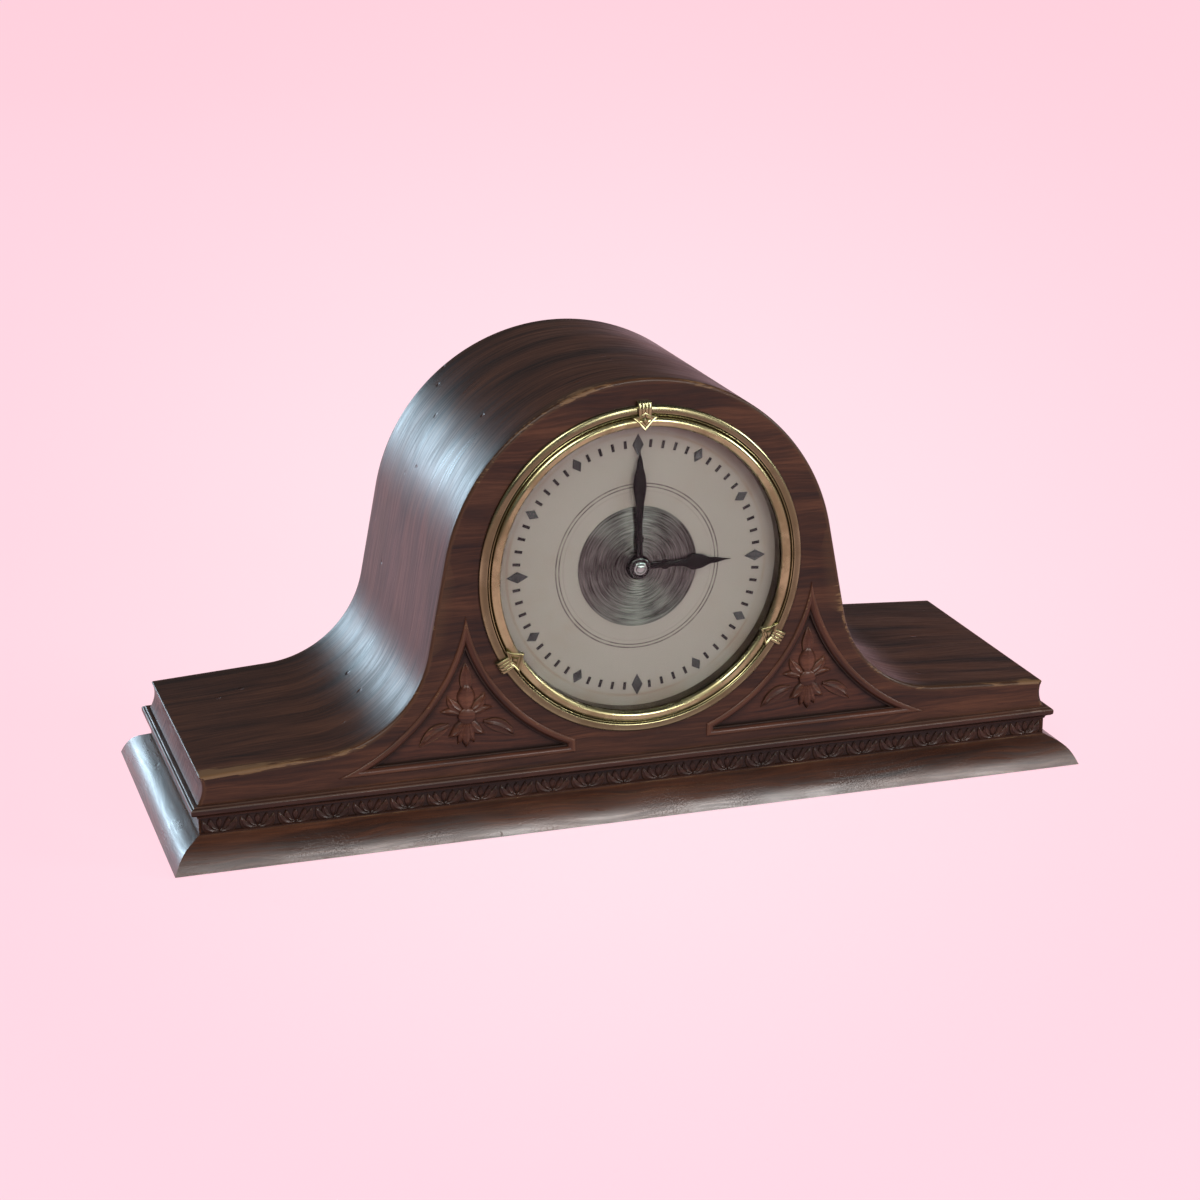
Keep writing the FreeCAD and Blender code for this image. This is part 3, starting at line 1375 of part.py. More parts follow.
def make_door():
    door = slab(door_outline(door_gap), panel_back_depth, case_depth)
    rim = front_edges(door, case_depth)
    add("back_door", door.makeChamfer(arris, rim))

    pivot_x = -door_half_width + door_gap / 2
    pivot_depth = case_depth + hinge_knuckle_radius
    bore = hinge_pin_radius + running_fit
    fixed = []
    moving = []
    pins = []
    fixed_screws = []
    moving_screws = []
    knuckle = hinge_height / 3
    for rise in (hinge_low_rise, hinge_high_rise):
        middle = door_bottom_z + rise
        low = middle - hinge_height / 2
        high = middle + hinge_height / 2
        leaf_end = case_depth + hinge_leaf_thickness
        for way, leaves, screws in ((-1, fixed, fixed_screws), (1, moving, moving_screws)):
            near = pivot_x + way * (hinge_knuckle_radius + hinge_knuckle_gap)
            far = pivot_x + way * hinge_leaf_width
            plate = box(min(near, far), max(near, far), case_depth, leaf_end, low, high)
            spans = ((low, low + knuckle), (high - knuckle, high))
            if way == 1:
                spans = ((low + knuckle + hinge_knuckle_gap, high - knuckle - hinge_knuckle_gap),)
            for start, end in spans:
                web = box(min(pivot_x, near), max(pivot_x, near), case_depth, leaf_end, start, end)
                plate = join(plate, web, upright(pivot_x, pivot_depth, hinge_knuckle_radius, start, end))
            plate = plate.cut(upright(pivot_x, pivot_depth, bore, low - overrun, high + overrun))
            screw_x = pivot_x + way * hinge_leaf_width * hinge_screw_share
            for z in (middle - hinge_screw_rise, middle + hinge_screw_rise):
                head = (screw_x, z)
                screws.append(rod(head, hinge_screw_radius, leaf_end, leaf_end + hinge_screw_head))
            leaves.append(plate)
        head = upright(pivot_x, pivot_depth, hinge_knuckle_radius, high, high + hinge_pin_head)
        pins.append(join(upright(pivot_x, pivot_depth, hinge_pin_radius, low, high), head))
    add("hinge_case_leaves", *fixed)
    add("hinge_door_leaves", *moving)
    add("hinge_pins", *pins)
    add("wood_screws", *fixed_screws)
    add("hinge_door_screws", *moving_screws)

    heights = [case_depth + knob_height * share for share in knob_height_shares]
    profile = [
        (0, case_depth), (knob_foot_radius, case_depth), (knob_neck_radius, heights[0]), (knob_neck_radius, heights[1]),
        (knob_head_radius, heights[2]), cap(knob_head_radius, heights[2], heights[3]),
    ]
    add("door_knob", turned(profile, (knob_x, knob_z)))

    start = case_depth + button_lift
    end = start + button_thickness
    place = (button_x, button_z)
    arm = join(
        capsule(place, (button_x, button_z - button_long), button_half_width, start, end),
        capsule(place, (button_x, button_z + button_short), button_half_width, start, end),
    )
    add("turn_button", arm.cut(rod(place, button_screw_radius + running_fit, start, end)))
    washer_end = end + button_lift / 2
    screw = join(
        rod(place, button_screw_radius, case_depth - screw_length, washer_end),
        rod(place, button_head_radius, washer_end, washer_end + button_head_height),
    )
    add("wood_screws", screw)

    stop_x = door_half_width - stop_lap
    stop_z = (door_bottom_z + door_spring_z) / 2
    lap = box(
        stop_x, stop_x + stop_width, panel_back_depth - stop_depth, panel_back_depth,
        stop_z - stop_height / 2, stop_z + stop_height / 2,
    )
    relief = box(
        stop_x - overrun, door_half_width, panel_back_depth - stop_gap, panel_back_depth,
        stop_z - stop_height, stop_z + stop_height,
    )
    add("door_stop", lap.cut(relief))


def main():
    os.makedirs("parts", exist_ok=True)
    for make in (
        make_base, make_frieze, make_ledge, make_case, make_spandrels, make_bezel, make_dial, make_hands,
        make_plates, make_barrel, make_train, make_motion_work, make_escape_wheel, make_lever, make_balance,
        make_winding, make_key, make_door,
    ):
        make()
    for name, shape in nodes.items():
        if not shape.isValid() or not shape.Solids:
            raise ValueError(name + " is not a sound solid")
        shape.exportStep("parts/" + name + ".step")


main()
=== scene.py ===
"""Dressed model of a tambour mantel clock with a carved wooden case and a brass bezel.

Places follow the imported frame: X along the clock, the dial faces -Y, Z up, in metres. Sizes of
the classes are in millimetres, with depths measured backwards from the front panel's face.
"""

import logging
import math
from dataclasses import dataclass, field
from enum import Enum
from typing import Callable, Optional, Sequence

import bpy
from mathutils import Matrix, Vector, geometry, noise


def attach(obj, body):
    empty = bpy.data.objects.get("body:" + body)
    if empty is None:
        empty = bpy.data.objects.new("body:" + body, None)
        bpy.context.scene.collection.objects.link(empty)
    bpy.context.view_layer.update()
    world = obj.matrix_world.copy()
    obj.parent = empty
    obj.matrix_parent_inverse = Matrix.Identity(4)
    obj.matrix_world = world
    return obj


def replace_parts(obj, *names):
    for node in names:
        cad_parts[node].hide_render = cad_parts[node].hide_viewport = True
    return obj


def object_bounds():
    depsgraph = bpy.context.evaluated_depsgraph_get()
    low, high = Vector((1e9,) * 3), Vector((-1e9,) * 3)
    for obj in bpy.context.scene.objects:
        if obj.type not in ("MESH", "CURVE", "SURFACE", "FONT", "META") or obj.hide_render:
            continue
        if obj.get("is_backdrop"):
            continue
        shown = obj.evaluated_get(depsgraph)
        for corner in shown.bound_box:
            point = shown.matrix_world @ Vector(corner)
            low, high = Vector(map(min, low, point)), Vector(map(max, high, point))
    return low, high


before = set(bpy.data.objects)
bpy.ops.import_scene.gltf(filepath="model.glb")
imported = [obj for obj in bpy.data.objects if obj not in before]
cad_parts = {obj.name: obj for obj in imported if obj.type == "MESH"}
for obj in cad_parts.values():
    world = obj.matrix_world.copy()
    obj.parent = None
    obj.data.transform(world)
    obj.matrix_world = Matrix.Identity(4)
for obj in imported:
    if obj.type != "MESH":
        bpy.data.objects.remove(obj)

LOG = logging.getLogger("mantel_clock")
MM = 0.001
HALF_WIDTH = 221.0
HALF_DEPTH = 71.5
DIAL_Z = 124.8
DIAL = (0.0, DIAL_Z)
CASE = "case"
HANDS = "hands"
Pair = tuple[float, float]
Colour = tuple[float, float, float, float]
Socket = bpy.types.NodeSocket


class Grain(Enum):
    """Ways in which the grain runs through a wooden piece."""

    CURVED = "carried by the mesh"
    ALONG_X = "along the clock"
    ALONG_Y = "from front to back"


# ---------------------------------------------------------------- mesh helpers


def at(x: float, depth: float, z: float) -> Vector:
    """Point in metres at a depth in millimetres behind the front panel's face."""
    return Vector((x * MM, (depth - HALF_DEPTH) * MM, z * MM))


def polar(centre: Pair, distance: float, degrees: float) -> Pair:
    """Place at a distance and an angle from a centre, seen from the front."""
    turn = math.radians(degrees)
    return (centre[0] + distance * math.cos(turn), centre[1] + distance * math.sin(turn))


def lerp(a: float, b: float, share: float) -> float:
    """Value between two values."""
    return a + (b - a) * share


def between(a: Pair, b: Pair, share: float) -> Pair:
    """Place between two places."""
    return (lerp(a[0], b[0], share), lerp(a[1], b[1], share))


def tent(value: float, middle: float, reach: float) -> float:
    """1 in the middle, down to 0 at a reach on either side."""
    return max(0.0, 1 - abs(value - middle) / reach)


def quarter(steps: int) -> list[Pair]:
    """Cosine and sine at even steps over a quarter turn."""
    turns = [math.pi / 2 * i / steps for i in range(steps + 1)]
    return [(math.cos(turn), math.sin(turn)) for turn in turns]


def arc(centre: Pair, radius: float, start: float, end: float, step: float) -> list[Pair]:
    """Points along a circular arc.

    Args:
        centre: middle of the circle.
        radius: radius of the arc.
        start: first angle in degrees.
        end: last angle in degrees.
        step: longest distance between points.

    Returns:
        The points from start to end, both included.
    """
    count = max(2, math.ceil(abs(math.radians(end - start)) * radius / step))
    return [polar(centre, radius, lerp(start, end, i / count)) for i in range(count + 1)]


def curve(knots: Sequence[Pair], share: float) -> float:
    """Smooth value at a share between knots of (share, value)."""
    for (x0, y0), (x1, y1) in zip(knots, knots[1:]):
        if share <= x1:
            t = (share - x0) / (x1 - x0)
            return lerp(y0, y1, t * t * (3 - 2 * t))
    return knots[-1][1]


def forward(_: Vector) -> Vector:
    """Way in which a relief on the front looks."""
    return Vector((0.0, -1.0, 0.0))


def backward(_: Vector) -> Vector:
    """Way in which a flat back looks."""
    return Vector((0.0, 1.0, 0.0))


def away_from(centre: Vector) -> Callable[[Vector], Vector]:
    """Ways that lead away from a centre."""
    return lambda place: place - centre


def towards(centre: Vector) -> Callable[[Vector], Vector]:
    """Ways that lead to a centre."""
    return lambda place: centre - place


CORE = at(0, HALF_DEPTH, 20)


def grid_faces(rows: int, cols: int, wrap: bool = False) -> list[tuple[int, ...]]:
    """Faces of a grid whose points are stored row by row; wrap joins the last row to the first."""
    faces = []
    for i in range(rows if wrap else rows - 1):
        k = (i + 1) % rows
        faces += [(i * cols + j, i * cols + j + 1, k * cols + j + 1, k * cols + j) for j in range(cols - 1)]
    return faces


def ring_faces(levels: int, count: int) -> list[tuple[int, ...]]:
    """Faces between closed rings of points that lie one above the other."""
    faces = []
    for level in range(levels - 1):
        for i in range(count):
            a, b = level * count + i, level * count + (i + 1) % count
            faces.append((a, b, b + count, a + count))
    return faces


class Mesh:
    """Points, faces and point values of a piece that is put together from several parts."""

    def __init__(self) -> None:
        """Start with nothing."""
        self.verts: list[Vector] = []
        self.faces: list[tuple[int, ...]] = []
        self.values: dict[str, list] = {}

    def add(
        self, verts: Sequence[Vector], faces: Sequence[Sequence[int]], look: Optional[Callable] = forward,
        **values: list,
    ) -> None:
        """Add a part.

        Args:
            verts: its points.
            faces: its faces, counted from its own first point.
            look: the way in which the part looks at a place, to turn its faces by; None leaves them.
            values: point values, as many as points.
        """
        seen = [{tuple(round(c, 7) for c in verts[i]): i for i in face} for face in faces]
        faces = [tuple(places.values()) for places in seen if len(places) > 2]
        if look:
            score = 0.0
            for face in faces:
                a, b, c = (verts[i] for i in face[:3])
                score += (b - a).cross(c - a).dot(look(a))
            if score < 0:
                faces = [face[::-1] for face in faces]
        start = len(self.verts)
        self.verts += verts
        self.faces += [tuple(start + i for i in face) for face in faces]
        for key, row in values.items():
            self.values.setdefault(key, []).extend(row)

    def add_wood(self, rows: Sequence[Sequence[tuple]], look: Callable = forward, wrap: bool = False) -> None:
        """Add a grid of wood.

        Args:
            rows: for each point its place, grain, wear and recess shade, which is painted shade.
            look: as for add.
            wrap: whether the last row joins the first.
        """
        verts, grain, wear, recess = (list(row) for row in zip(*[point for row in rows for point in row]))
        self.add(verts, grid_faces(len(rows), len(rows[0]), wrap), look, grain=grain, wear=wear, recess=recess)

    def build(self, name: str, node: str = "", body: str = CASE, sharp: float = 40.0) -> bpy.types.Object:
        """Make the piece.

        Args:
            name: name of the object.
            node: node of the frame that it replaces, if any.
            body: body of the frame that carries it.
            sharp: angle in degrees above which an edge stays sharp.

        Returns:
            The new object.
        """
        mesh = bpy.data.meshes.new(name)
        mesh.from_pydata([tuple(v) for v in self.verts], [], self.faces)
        for key, values in self.values.items():
            if isinstance(values[0], (int, float)):
                mesh.attributes.new(key, "FLOAT", "POINT").data.foreach_set("value", values)
            else:
                layer = mesh.attributes.new(key, "FLOAT_VECTOR", "POINT")
                layer.data.foreach_set("vector", [c for v in values for c in v])
        mesh.polygons.foreach_set("use_smooth", [True] * len(mesh.polygons))
        mesh.set_sharp_from_angle(angle=math.radians(sharp))
        mesh.validate()
        obj = bpy.data.objects.new(name, mesh)
        bpy.context.scene.collection.objects.link(obj)
        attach(obj, body)
        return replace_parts(obj, node) if node else obj


def revolve(
    mesh: Mesh, profile: Sequence[tuple], turns: int, look: Callable = forward, centre: Pair = DIAL,
) -> None:
    """Turn a profile about the fore-and-aft line through a centre.

    Args:
        mesh: what the surface is added to.
        profile: radius, depth and, where it varies, polish of each point, which on metal also paints highlight and
            shade.
        turns: number of steps round the axis.
        look: the way in which the surface looks at a place.
        centre: place of the axis.
    """
    verts = []
    for i in range(turns):
        for radius, depth, *_ in profile:
            x, z = polar(centre, radius, 360 * i / turns)
            verts.append(at(x, depth, z))
    polish = {"polish": [row[2] for row in profile] * turns} if len(profile[0]) > 2 else {}
    mesh.add(verts, grid_faces(turns, len(profile), wrap=True), look, **polish)


def inside(place: Pair, loop: Sequence[Pair]) -> bool:
    """Whether a place lies inside a closed outline."""
    x, z = place
    odd = False
    for (x0, z0), (x1, z1) in zip(loop, list(loop[1:]) + [loop[0]]):
        if (z0 > z) != (z1 > z) and x < x0 + (z - z0) * (x1 - x0) / (z1 - z0):
            odd = not odd
    return odd


def gap_to(place: Pair, others: Sequence[Pair]) -> float:
    """Distance to the nearest of some places."""
    return min(math.dist(place, other) for other in others)


def flat_fill(
    border: Sequence[Pair], holes: Sequence[Sequence[Pair]] = (), loose: Sequence[Pair] = (),
) -> tuple[list[Pair], list[tuple[int, ...]]]:
    """Triangles of a flat face with holes, which look forwards.

    Args:
        border: closed outline.
        holes: closed outlines that stay open.
        loose: more points inside the border.

    Returns:
        The points and the triangles.
    """
    points: list[Vector] = []
    edges = []
    for loop in (border, *holes):
        start = len(points)
        points += [Vector(p) for p in loop]
        edges += [(start + i, start + (i + 1) % len(loop)) for i in range(len(loop))]
    points += [Vector(p) for p in loose if inside(p, border)]
    made = geometry.delaunay_2d_cdt(points, edges, [], 1, 1e-6)
    out = [(v.x, v.y) for v in made[0]]
    kept = []
    for tri in made[2]:
        a, b, c = (out[i] for i in tri[:3])
        middle = ((a[0] + b[0] + c[0]) / 3, (a[1] + b[1] + c[1]) / 3)
        if inside(middle, border) and not any(inside(middle, hole) for hole in holes):
            turn = (b[0] - a[0]) * (c[1] - a[1]) - (b[1] - a[1]) * (c[0] - a[0])
            kept.append(tuple(tri if turn > 0 else tri[::-1]))
    return out, kept


def offset(points: Sequence[Pair], distance: float) -> list[Pair]:
    """Move an open outline to the right of its run, with mitred corners.

    Args:
        points: the outline.
        distance: how far it moves.

    Returns:
        The moved points, as many as before.
    """
    out = []
    for i, (x, z) in enumerate(points):
        ways = []
        for (ax, az), (bx, bz) in ((points[max(i - 1, 0)], (x, z)), ((x, z), points[min(i + 1, len(points) - 1)])):
            length = math.hypot(bx - ax, bz - az)
            if length > 1e-9:
                ways.append(((bz - az) / length, -(bx - ax) / length))
        nx = sum(w[0] for w in ways) / len(ways)
        nz = sum(w[1] for w in ways) / len(ways)
        size = max(nx * nx + nz * nz, 0.2)
        out.append((x + nx / size * distance, z + nz / size * distance))
    return out


# ---------------------------------------------------------------- shader helpers


def shade(colour: Colour, factor: float) -> Colour:
    """Colour times a factor."""
    return tuple(c * factor for c in colour[:3]) + (1,)


class Sheet:
    """A node tree with short ways to add nodes and join them."""

    def __init__(self, tree: bpy.types.NodeTree) -> None:
        """Work in a tree."""
        self.tree = tree

    def feed(self, node: bpy.types.Node, inputs: dict) -> None:
        """Set or join inputs of a node, given by name or number."""
        for key, value in inputs.items():
            if isinstance(value, Socket):
                self.tree.links.new(value, node.inputs[key])
            else:
                node.inputs[key].default_value = value

    def node(self, kind: str, inputs: Optional[dict] = None, **settings: object) -> bpy.types.Node:
        """Add a node.

        Args:
            kind: type of the node without its prefix.
            inputs: values or sockets by input name or number.
            settings: attributes of the node.

        Returns:
            The node.
        """
        made = self.tree.nodes.new("ShaderNode" + kind)
        for key, value in settings.items():
            setattr(made, key, value)
        self.feed(made, inputs or {})
        return made

    def math(self, kind: str, a: object, b: object = 0.0) -> Socket:
        """Result of a math node."""
        return self.node("Math", {0: a, 1: b}, operation=kind).outputs[0]

    def plus(self, a: object, b: object) -> Socket:
        """Sum of two values."""
        return self.math("ADD", a, b)

    def minus(self, a: object, b: object) -> Socket:
        """Difference of two values."""
        return self.math("SUBTRACT", a, b)

    def times(self, a: object, b: object) -> Socket:
        """Product of two values."""
        return self.math("MULTIPLY", a, b)

    def blend(self, a: Socket, share_a: float, b: Socket, share_b: float) -> Socket:
        """Sum of two values that are each multiplied first."""
        return self.plus(self.times(a, share_a), self.times(b, share_b))

    def mix(self, share: object, a: object, b: object, kind: str = "MIX") -> Socket:
        """Colour between two colours."""
        made = self.node("Mix", {0: share, 6: a, 7: b}, data_type="RGBA", blend_type=kind)
        return made.outputs[2]

    def span(self, value: Socket, low: float, high: float, first: float = 0.0, last: float = 1.0) -> Socket:
        """Value moved smoothly from one span to another."""
        inputs = {"Value": value, "From Min": low, "From Max": high, "To Min": first, "To Max": last}
        return self.node("MapRange", inputs, interpolation_type="SMOOTHSTEP").outputs[0]

    def vector(self, kind: str, a: object, b: object) -> Socket:
        """Result of a vector math node."""
        return self.node("VectorMath", {0: a, 1: b}, operation=kind).outputs[0]

    def noise(
        self, vector: Socket, scale: object, detail: float = 3.0, rough: float = 0.55, warp: float = 0.0,
    ) -> Socket:
        """Value of a noise texture, whose scale is a number or one number for each axis."""
        if isinstance(scale, tuple):
            vector, scale = self.vector("MULTIPLY", vector, scale), 1.0
        inputs = {"Vector": vector, "Scale": scale, "Detail": detail, "Roughness": rough, "Distortion": warp}
        return self.node("TexNoise", inputs).outputs["Fac"]

    def bump(self, height: Socket, strength: float, distance: float = 0.001) -> Socket:
        """Normal from a height."""
        return self.node("Bump", {"Strength": strength, "Distance": distance, "Height": height}).outputs[0]

    def group(self, tree: bpy.types.NodeTree, **inputs: object) -> bpy.types.NodeOutputs:
        """Outputs of a shared group."""
        return self.node("Group", inputs, node_tree=tree).outputs

    def place(self) -> Socket:
        """Coordinates in metres of the frame."""
        return self.node("TexCoord").outputs["Object"]

    def carried(self, name: str, output: str = "Fac") -> Socket:
        """Value that the mesh carries at its points."""
        return self.node("Attribute", attribute_name=name).outputs[output]

    def around_dial(self, depth: float) -> tuple[Socket, Socket, Socket]:
        """Way from a point on the dial's axis, its parts and its length seen from the front."""
        way = self.vector("ADD", self.place(), (0, depth * MM, -DIAL_Z * MM))
        flat = self.vector("MULTIPLY", way, (1, 0, 1))
        parts = self.node("SeparateXYZ", {0: way}).outputs
        return parts[0], parts[2], self.node("VectorMath", {0: flat}, operation="LENGTH").outputs["Value"]


def shared_group(make: Callable, inputs: Sequence[str], outputs: Sequence[str]) -> bpy.types.NodeTree:
    """Build a shader node group.

    Args:
        make: adds the nodes to a sheet and its input sockets, and returns the output sockets.
        inputs: names of the inputs, which are numbers apart from Vector.
        outputs: names of the outputs, which are numbers.

    Returns:
        The group.
    """
    tree = bpy.data.node_groups.new(make.__name__, "ShaderNodeTree")
    for key in inputs:
        kind = "NodeSocketVector" if key == "Vector" else "NodeSocketFloat"
        tree.interface.new_socket(key, in_out="INPUT", socket_type=kind)
    for key in outputs:
        tree.interface.new_socket(key, in_out="OUTPUT", socket_type="NodeSocketFloat")
    given = tree.nodes.new("NodeGroupInput").outputs
    result = tree.nodes.new("NodeGroupOutput").inputs
    for key, socket in zip(outputs, make(Sheet(tree), *[given[key] for key in inputs])):
        tree.links.new(socket, result[key])
    return tree


def wood_figure(sheet: Sheet, vector: Socket) -> tuple[Socket, ...]:
    """Broad bands, streaks and pores of wood along the vector's first axis."""
    bend = sheet.noise(vector, (9, 26, 26), 2.0)
    bent = sheet.vector("ADD", vector, sheet.node("CombineXYZ", {"Y": sheet.times(bend, 0.02)}).outputs[0])
    bands = sheet.noise(bent, (7, 75, 75), 4.0, 0.55, 0.6)
    streaks = sheet.noise(bent, (26, 620, 620), 5.0, 0.62)
    return bands, streaks, sheet.noise(vector, (120, 2600, 2600), 2.0, 0.5)


def edge_wear(sheet: Sheet, vector: Socket, mask: Socket, amount: Socket) -> tuple[Socket, ...]:
    """Broken patches where a mask of the edges is high."""
    broad = sheet.noise(vector, (30, 30, 30))
    fine = sheet.noise(vector, (90, 800, 800))
    patch = sheet.minus(sheet.blend(broad, 1.1, fine, 0.9), 0.49)
    total = sheet.plus(patch, sheet.minus(sheet.times(mask, amount), 1.0))
    return (sheet.times(sheet.span(total, 0.14, 0.27), sheet.span(mask, 0.0, 0.25)),)


def wandering_cells(sheet: Sheet, vector: Socket, wander: Socket, scale: object, feature: str) -> bpy.types.NodeOutputs:
    """Cells whose borders wander a little."""
    moved = sheet.vector("ADD", vector, sheet.times(wander, 0.004))
    return sheet.node("TexVoronoi", {"Vector": moved, "Scale": scale}, feature=feature).outputs


def small_dents(sheet: Sheet, vector: Socket, scale: Socket) -> tuple[Socket, ...]:
    """Sparse pits, as a height from 0 down to -1."""
    cells = wandering_cells(sheet, vector, sheet.noise(vector, 90.0, 2.0), scale, "F1")
    chosen = sheet.span(sheet.node("SeparateColor", {0: cells["Color"]}).outputs[0], 0.74, 0.78)
    pit = sheet.span(cells["Distance"], 0.02, 0.15, 1.0, 0.0)
    return (sheet.times(sheet.times(chosen, pit), -1.0),)


def varnish_crackle(sheet: Sheet, vector: Socket) -> tuple[Socket, ...]:
    """Crackled varnish in patches, as a height from 0 down to -1."""
    cells = wandering_cells(sheet, vector, sheet.noise(vector, 260.0), 480.0, "DISTANCE_TO_EDGE")
    crack = sheet.span(cells["Distance"], 0.0, 0.16, 1.0, 0.0)
    patch = sheet.span(sheet.noise(vector, 24.0), 0.38, 0.62)
    return (sheet.times(sheet.times(crack, patch), -1.0),)


def metal_tarnish(sheet: Sheet, vector: Socket) -> tuple[Socket, ...]:
    """Clouds, spots and fine scratches of old metal."""
    spots = sheet.span(sheet.noise(vector, 520.0, 3.0, 0.7), 0.6, 0.74)
    return sheet.noise(vector, 60.0, 5.0, 0.6, 0.3), spots, sheet.noise(vector, 1500.0, 2.0, 0.6)


class Effects:
    """Shader node groups that several materials share."""

    def __init__(self) -> None:
        """Build every group once."""
        self.figure = shared_group(wood_figure, ["Vector"], ["Bands", "Streaks", "Pores"])
        self.wear = shared_group(edge_wear, ["Vector", "Mask", "Amount"], ["Worn"])
        self.dents = shared_group(small_dents, ["Vector", "Scale"], ["Height"])
        self.crackle = shared_group(varnish_crackle, ["Vector"], ["Height"])
        self.tarnish = shared_group(metal_tarnish, ["Vector"], ["Cloud", "Spots", "Fine"])


# ---------------------------------------------------------------- finishes


@dataclass(frozen=True)
class Finish:
    """Material with one Principled shader."""

    name: str

    def inputs(self, sheet: Sheet, effects: Optional[Effects]) -> dict[str, object]:
        """Values and sockets of the shader by name."""
        raise NotImplementedError

    def build(self, effects: Optional[Effects] = None) -> bpy.types.Material:
        """Make the material.

        Args:
            effects: the shared groups.

        Returns:
            The material.
        """
        made = bpy.data.materials.new(self.name)
        made.use_nodes = True
        sheet = Sheet(made.node_tree)
        sheet.feed(made.node_tree.nodes["Principled BSDF"], self.inputs(sheet, effects))
        return made


@dataclass(frozen=True)
class StainedWood(Finish):
    """Dark stained and varnished wood."""

    grain: Grain = Grain.CURVED
    dark: Colour = (0.011, 0.0048, 0.0036, 1)
    middle: Colour = (0.042, 0.0150, 0.0082, 1)
    light: Colour = (0.088, 0.0335, 0.0180, 1)
    bare: Colour = (0.128, 0.070, 0.034, 1)
    roughness: float = 0.36
    specular: float = 0.2
    coat: float = 0.08
    wear: float = 0.0
    edge_tone: float = 0.14
    recess: float = 0.0
    dents: float = 0.4
    dent_scale: float = 95.0
    crackle: float = 0.0

    def along(self, sheet: Sheet, place: Socket) -> Socket:
        """Coordinates whose first axis follows the grain."""
        if self.grain is Grain.CURVED:
            return sheet.carried("grain", "Vector")
        if self.grain is Grain.ALONG_X:
            return place
        parts = sheet.node("SeparateXYZ", {0: place}).outputs
        return sheet.node("CombineXYZ", {0: parts[1], 1: parts[0], 2: parts[2]}).outputs[0]

    def inputs(self, sheet: Sheet, effects: Effects) -> dict[str, object]:
        """Values and sockets of the shader by name."""
        place = sheet.place()
        figure = sheet.group(effects.figure, Vector=self.along(sheet, place))
        ramp = sheet.node("ValToRGB", {0: sheet.blend(figure["Bands"], 0.62, figure["Streaks"], 0.5)})
        stops = ramp.color_ramp.elements
        stops[0].position, stops[0].color = 0.40, self.dark
        stops[1].position, stops[1].color = 0.72, self.light
        stops.new(0.55).color = self.middle
        pores = sheet.span(figure["Pores"], 0.3, 0.5, 0.72, 1.0)
        grey = sheet.node("CombineColor", {0: pores, 1: pores, 2: pores}).outputs[0]
        colour = sheet.mix(1.0, ramp.outputs[0], grey, "MULTIPLY")
        gloss = sheet.span(figure["Streaks"], 0.35, 0.65, self.roughness + 0.07, self.roughness - 0.05)
        cloud = sheet.noise(place, (26, 40, 26), 4.0)
        gloss = sheet.plus(gloss, sheet.span(cloud, 0.3, 0.7, -0.045, 0.055))
        # Painted shade: darker where the mesh's recess shade is high, in pockets, round carvings and under the ledge.
        if self.recess:
            sunk_shade = sheet.carried("recess")
            colour = sheet.mix(sheet.times(sunk_shade, self.recess), colour, shade(self.dark, 0.3))
            gloss = sheet.plus(gloss, sheet.times(sunk_shade, 0.2))
        if self.wear:
            mask = sheet.carried("wear")
            # Edges lighten towards the bare colour: partly real wear, partly a painted highlight along the arrises.
            colour = sheet.mix(sheet.span(mask, 0.25, 0.62, 0.0, self.edge_tone), colour, self.bare)
            worn = sheet.group(effects.wear, Vector=place, Mask=mask, Amount=self.wear)["Worn"]
            colour = sheet.mix(worn, colour, self.bare)
            gloss = sheet.plus(gloss, sheet.times(worn, 0.18))
        height = sheet.times(figure["Streaks"], 0.02)
        if self.dents:
            pits = sheet.group(effects.dents, Vector=place, Scale=self.dent_scale)["Height"]
            height = sheet.plus(height, sheet.times(pits, self.dents))
        if self.crackle:
            cracks = sheet.group(effects.crackle, Vector=place)["Height"]
            height = sheet.plus(height, sheet.times(cracks, self.crackle))
        return {
            "Base Color": colour, "Roughness": gloss, "Normal": sheet.bump(height, 0.9),
            "Specular IOR Level": self.specular, "Coat Weight": self.coat, "Coat Roughness": 0.22,
        }


@dataclass(frozen=True)
class OldMetal(Finish):
    """Metal with cloudy tarnish, spots and fine scratches."""

    bright: Colour
    dull: Colour
    roughness: float
    spots: float
    height: float
    zones: bool = False
    patina_and_shade: Colour = (0.050, 0.042, 0.026, 1)

    def inputs(self, sheet: Sheet, effects: Effects) -> dict[str, object]:
        """Values and sockets of the shader by name."""
        stain = sheet.group(effects.tarnish, Vector=sheet.place())
        cloud = stain["Cloud"]
        colour = sheet.mix(sheet.span(cloud, 0.36, 0.66), self.bright, self.dull)
        # Painted light: low polish darkens towards the patina colour, partly real patina in the hollows and partly
        # painted shade; high polish paints highlights.
        if self.zones:
            uneven = sheet.plus(sheet.carried("polish"), sheet.times(sheet.minus(cloud, 0.5), 0.28))
            colour = sheet.mix(sheet.span(uneven, -0.1, 0.75), self.patina_and_shade, colour)
        spots = sheet.times(stain["Spots"], self.spots)
        pitted = sheet.times(spots, 0.25)
        rough = sheet.plus(sheet.span(cloud, 0.3, 0.7, self.roughness - 0.06, self.roughness + 0.1), pitted)
        bumps = sheet.minus(sheet.blend(cloud, 0.5, stain["Fine"], 0.12), pitted)
        return {
            "Base Color": sheet.mix(spots, colour, shade(self.dull, 0.35)), "Roughness": rough,
            "Normal": sheet.bump(bumps, self.height), "Metallic": 1.0,
        }


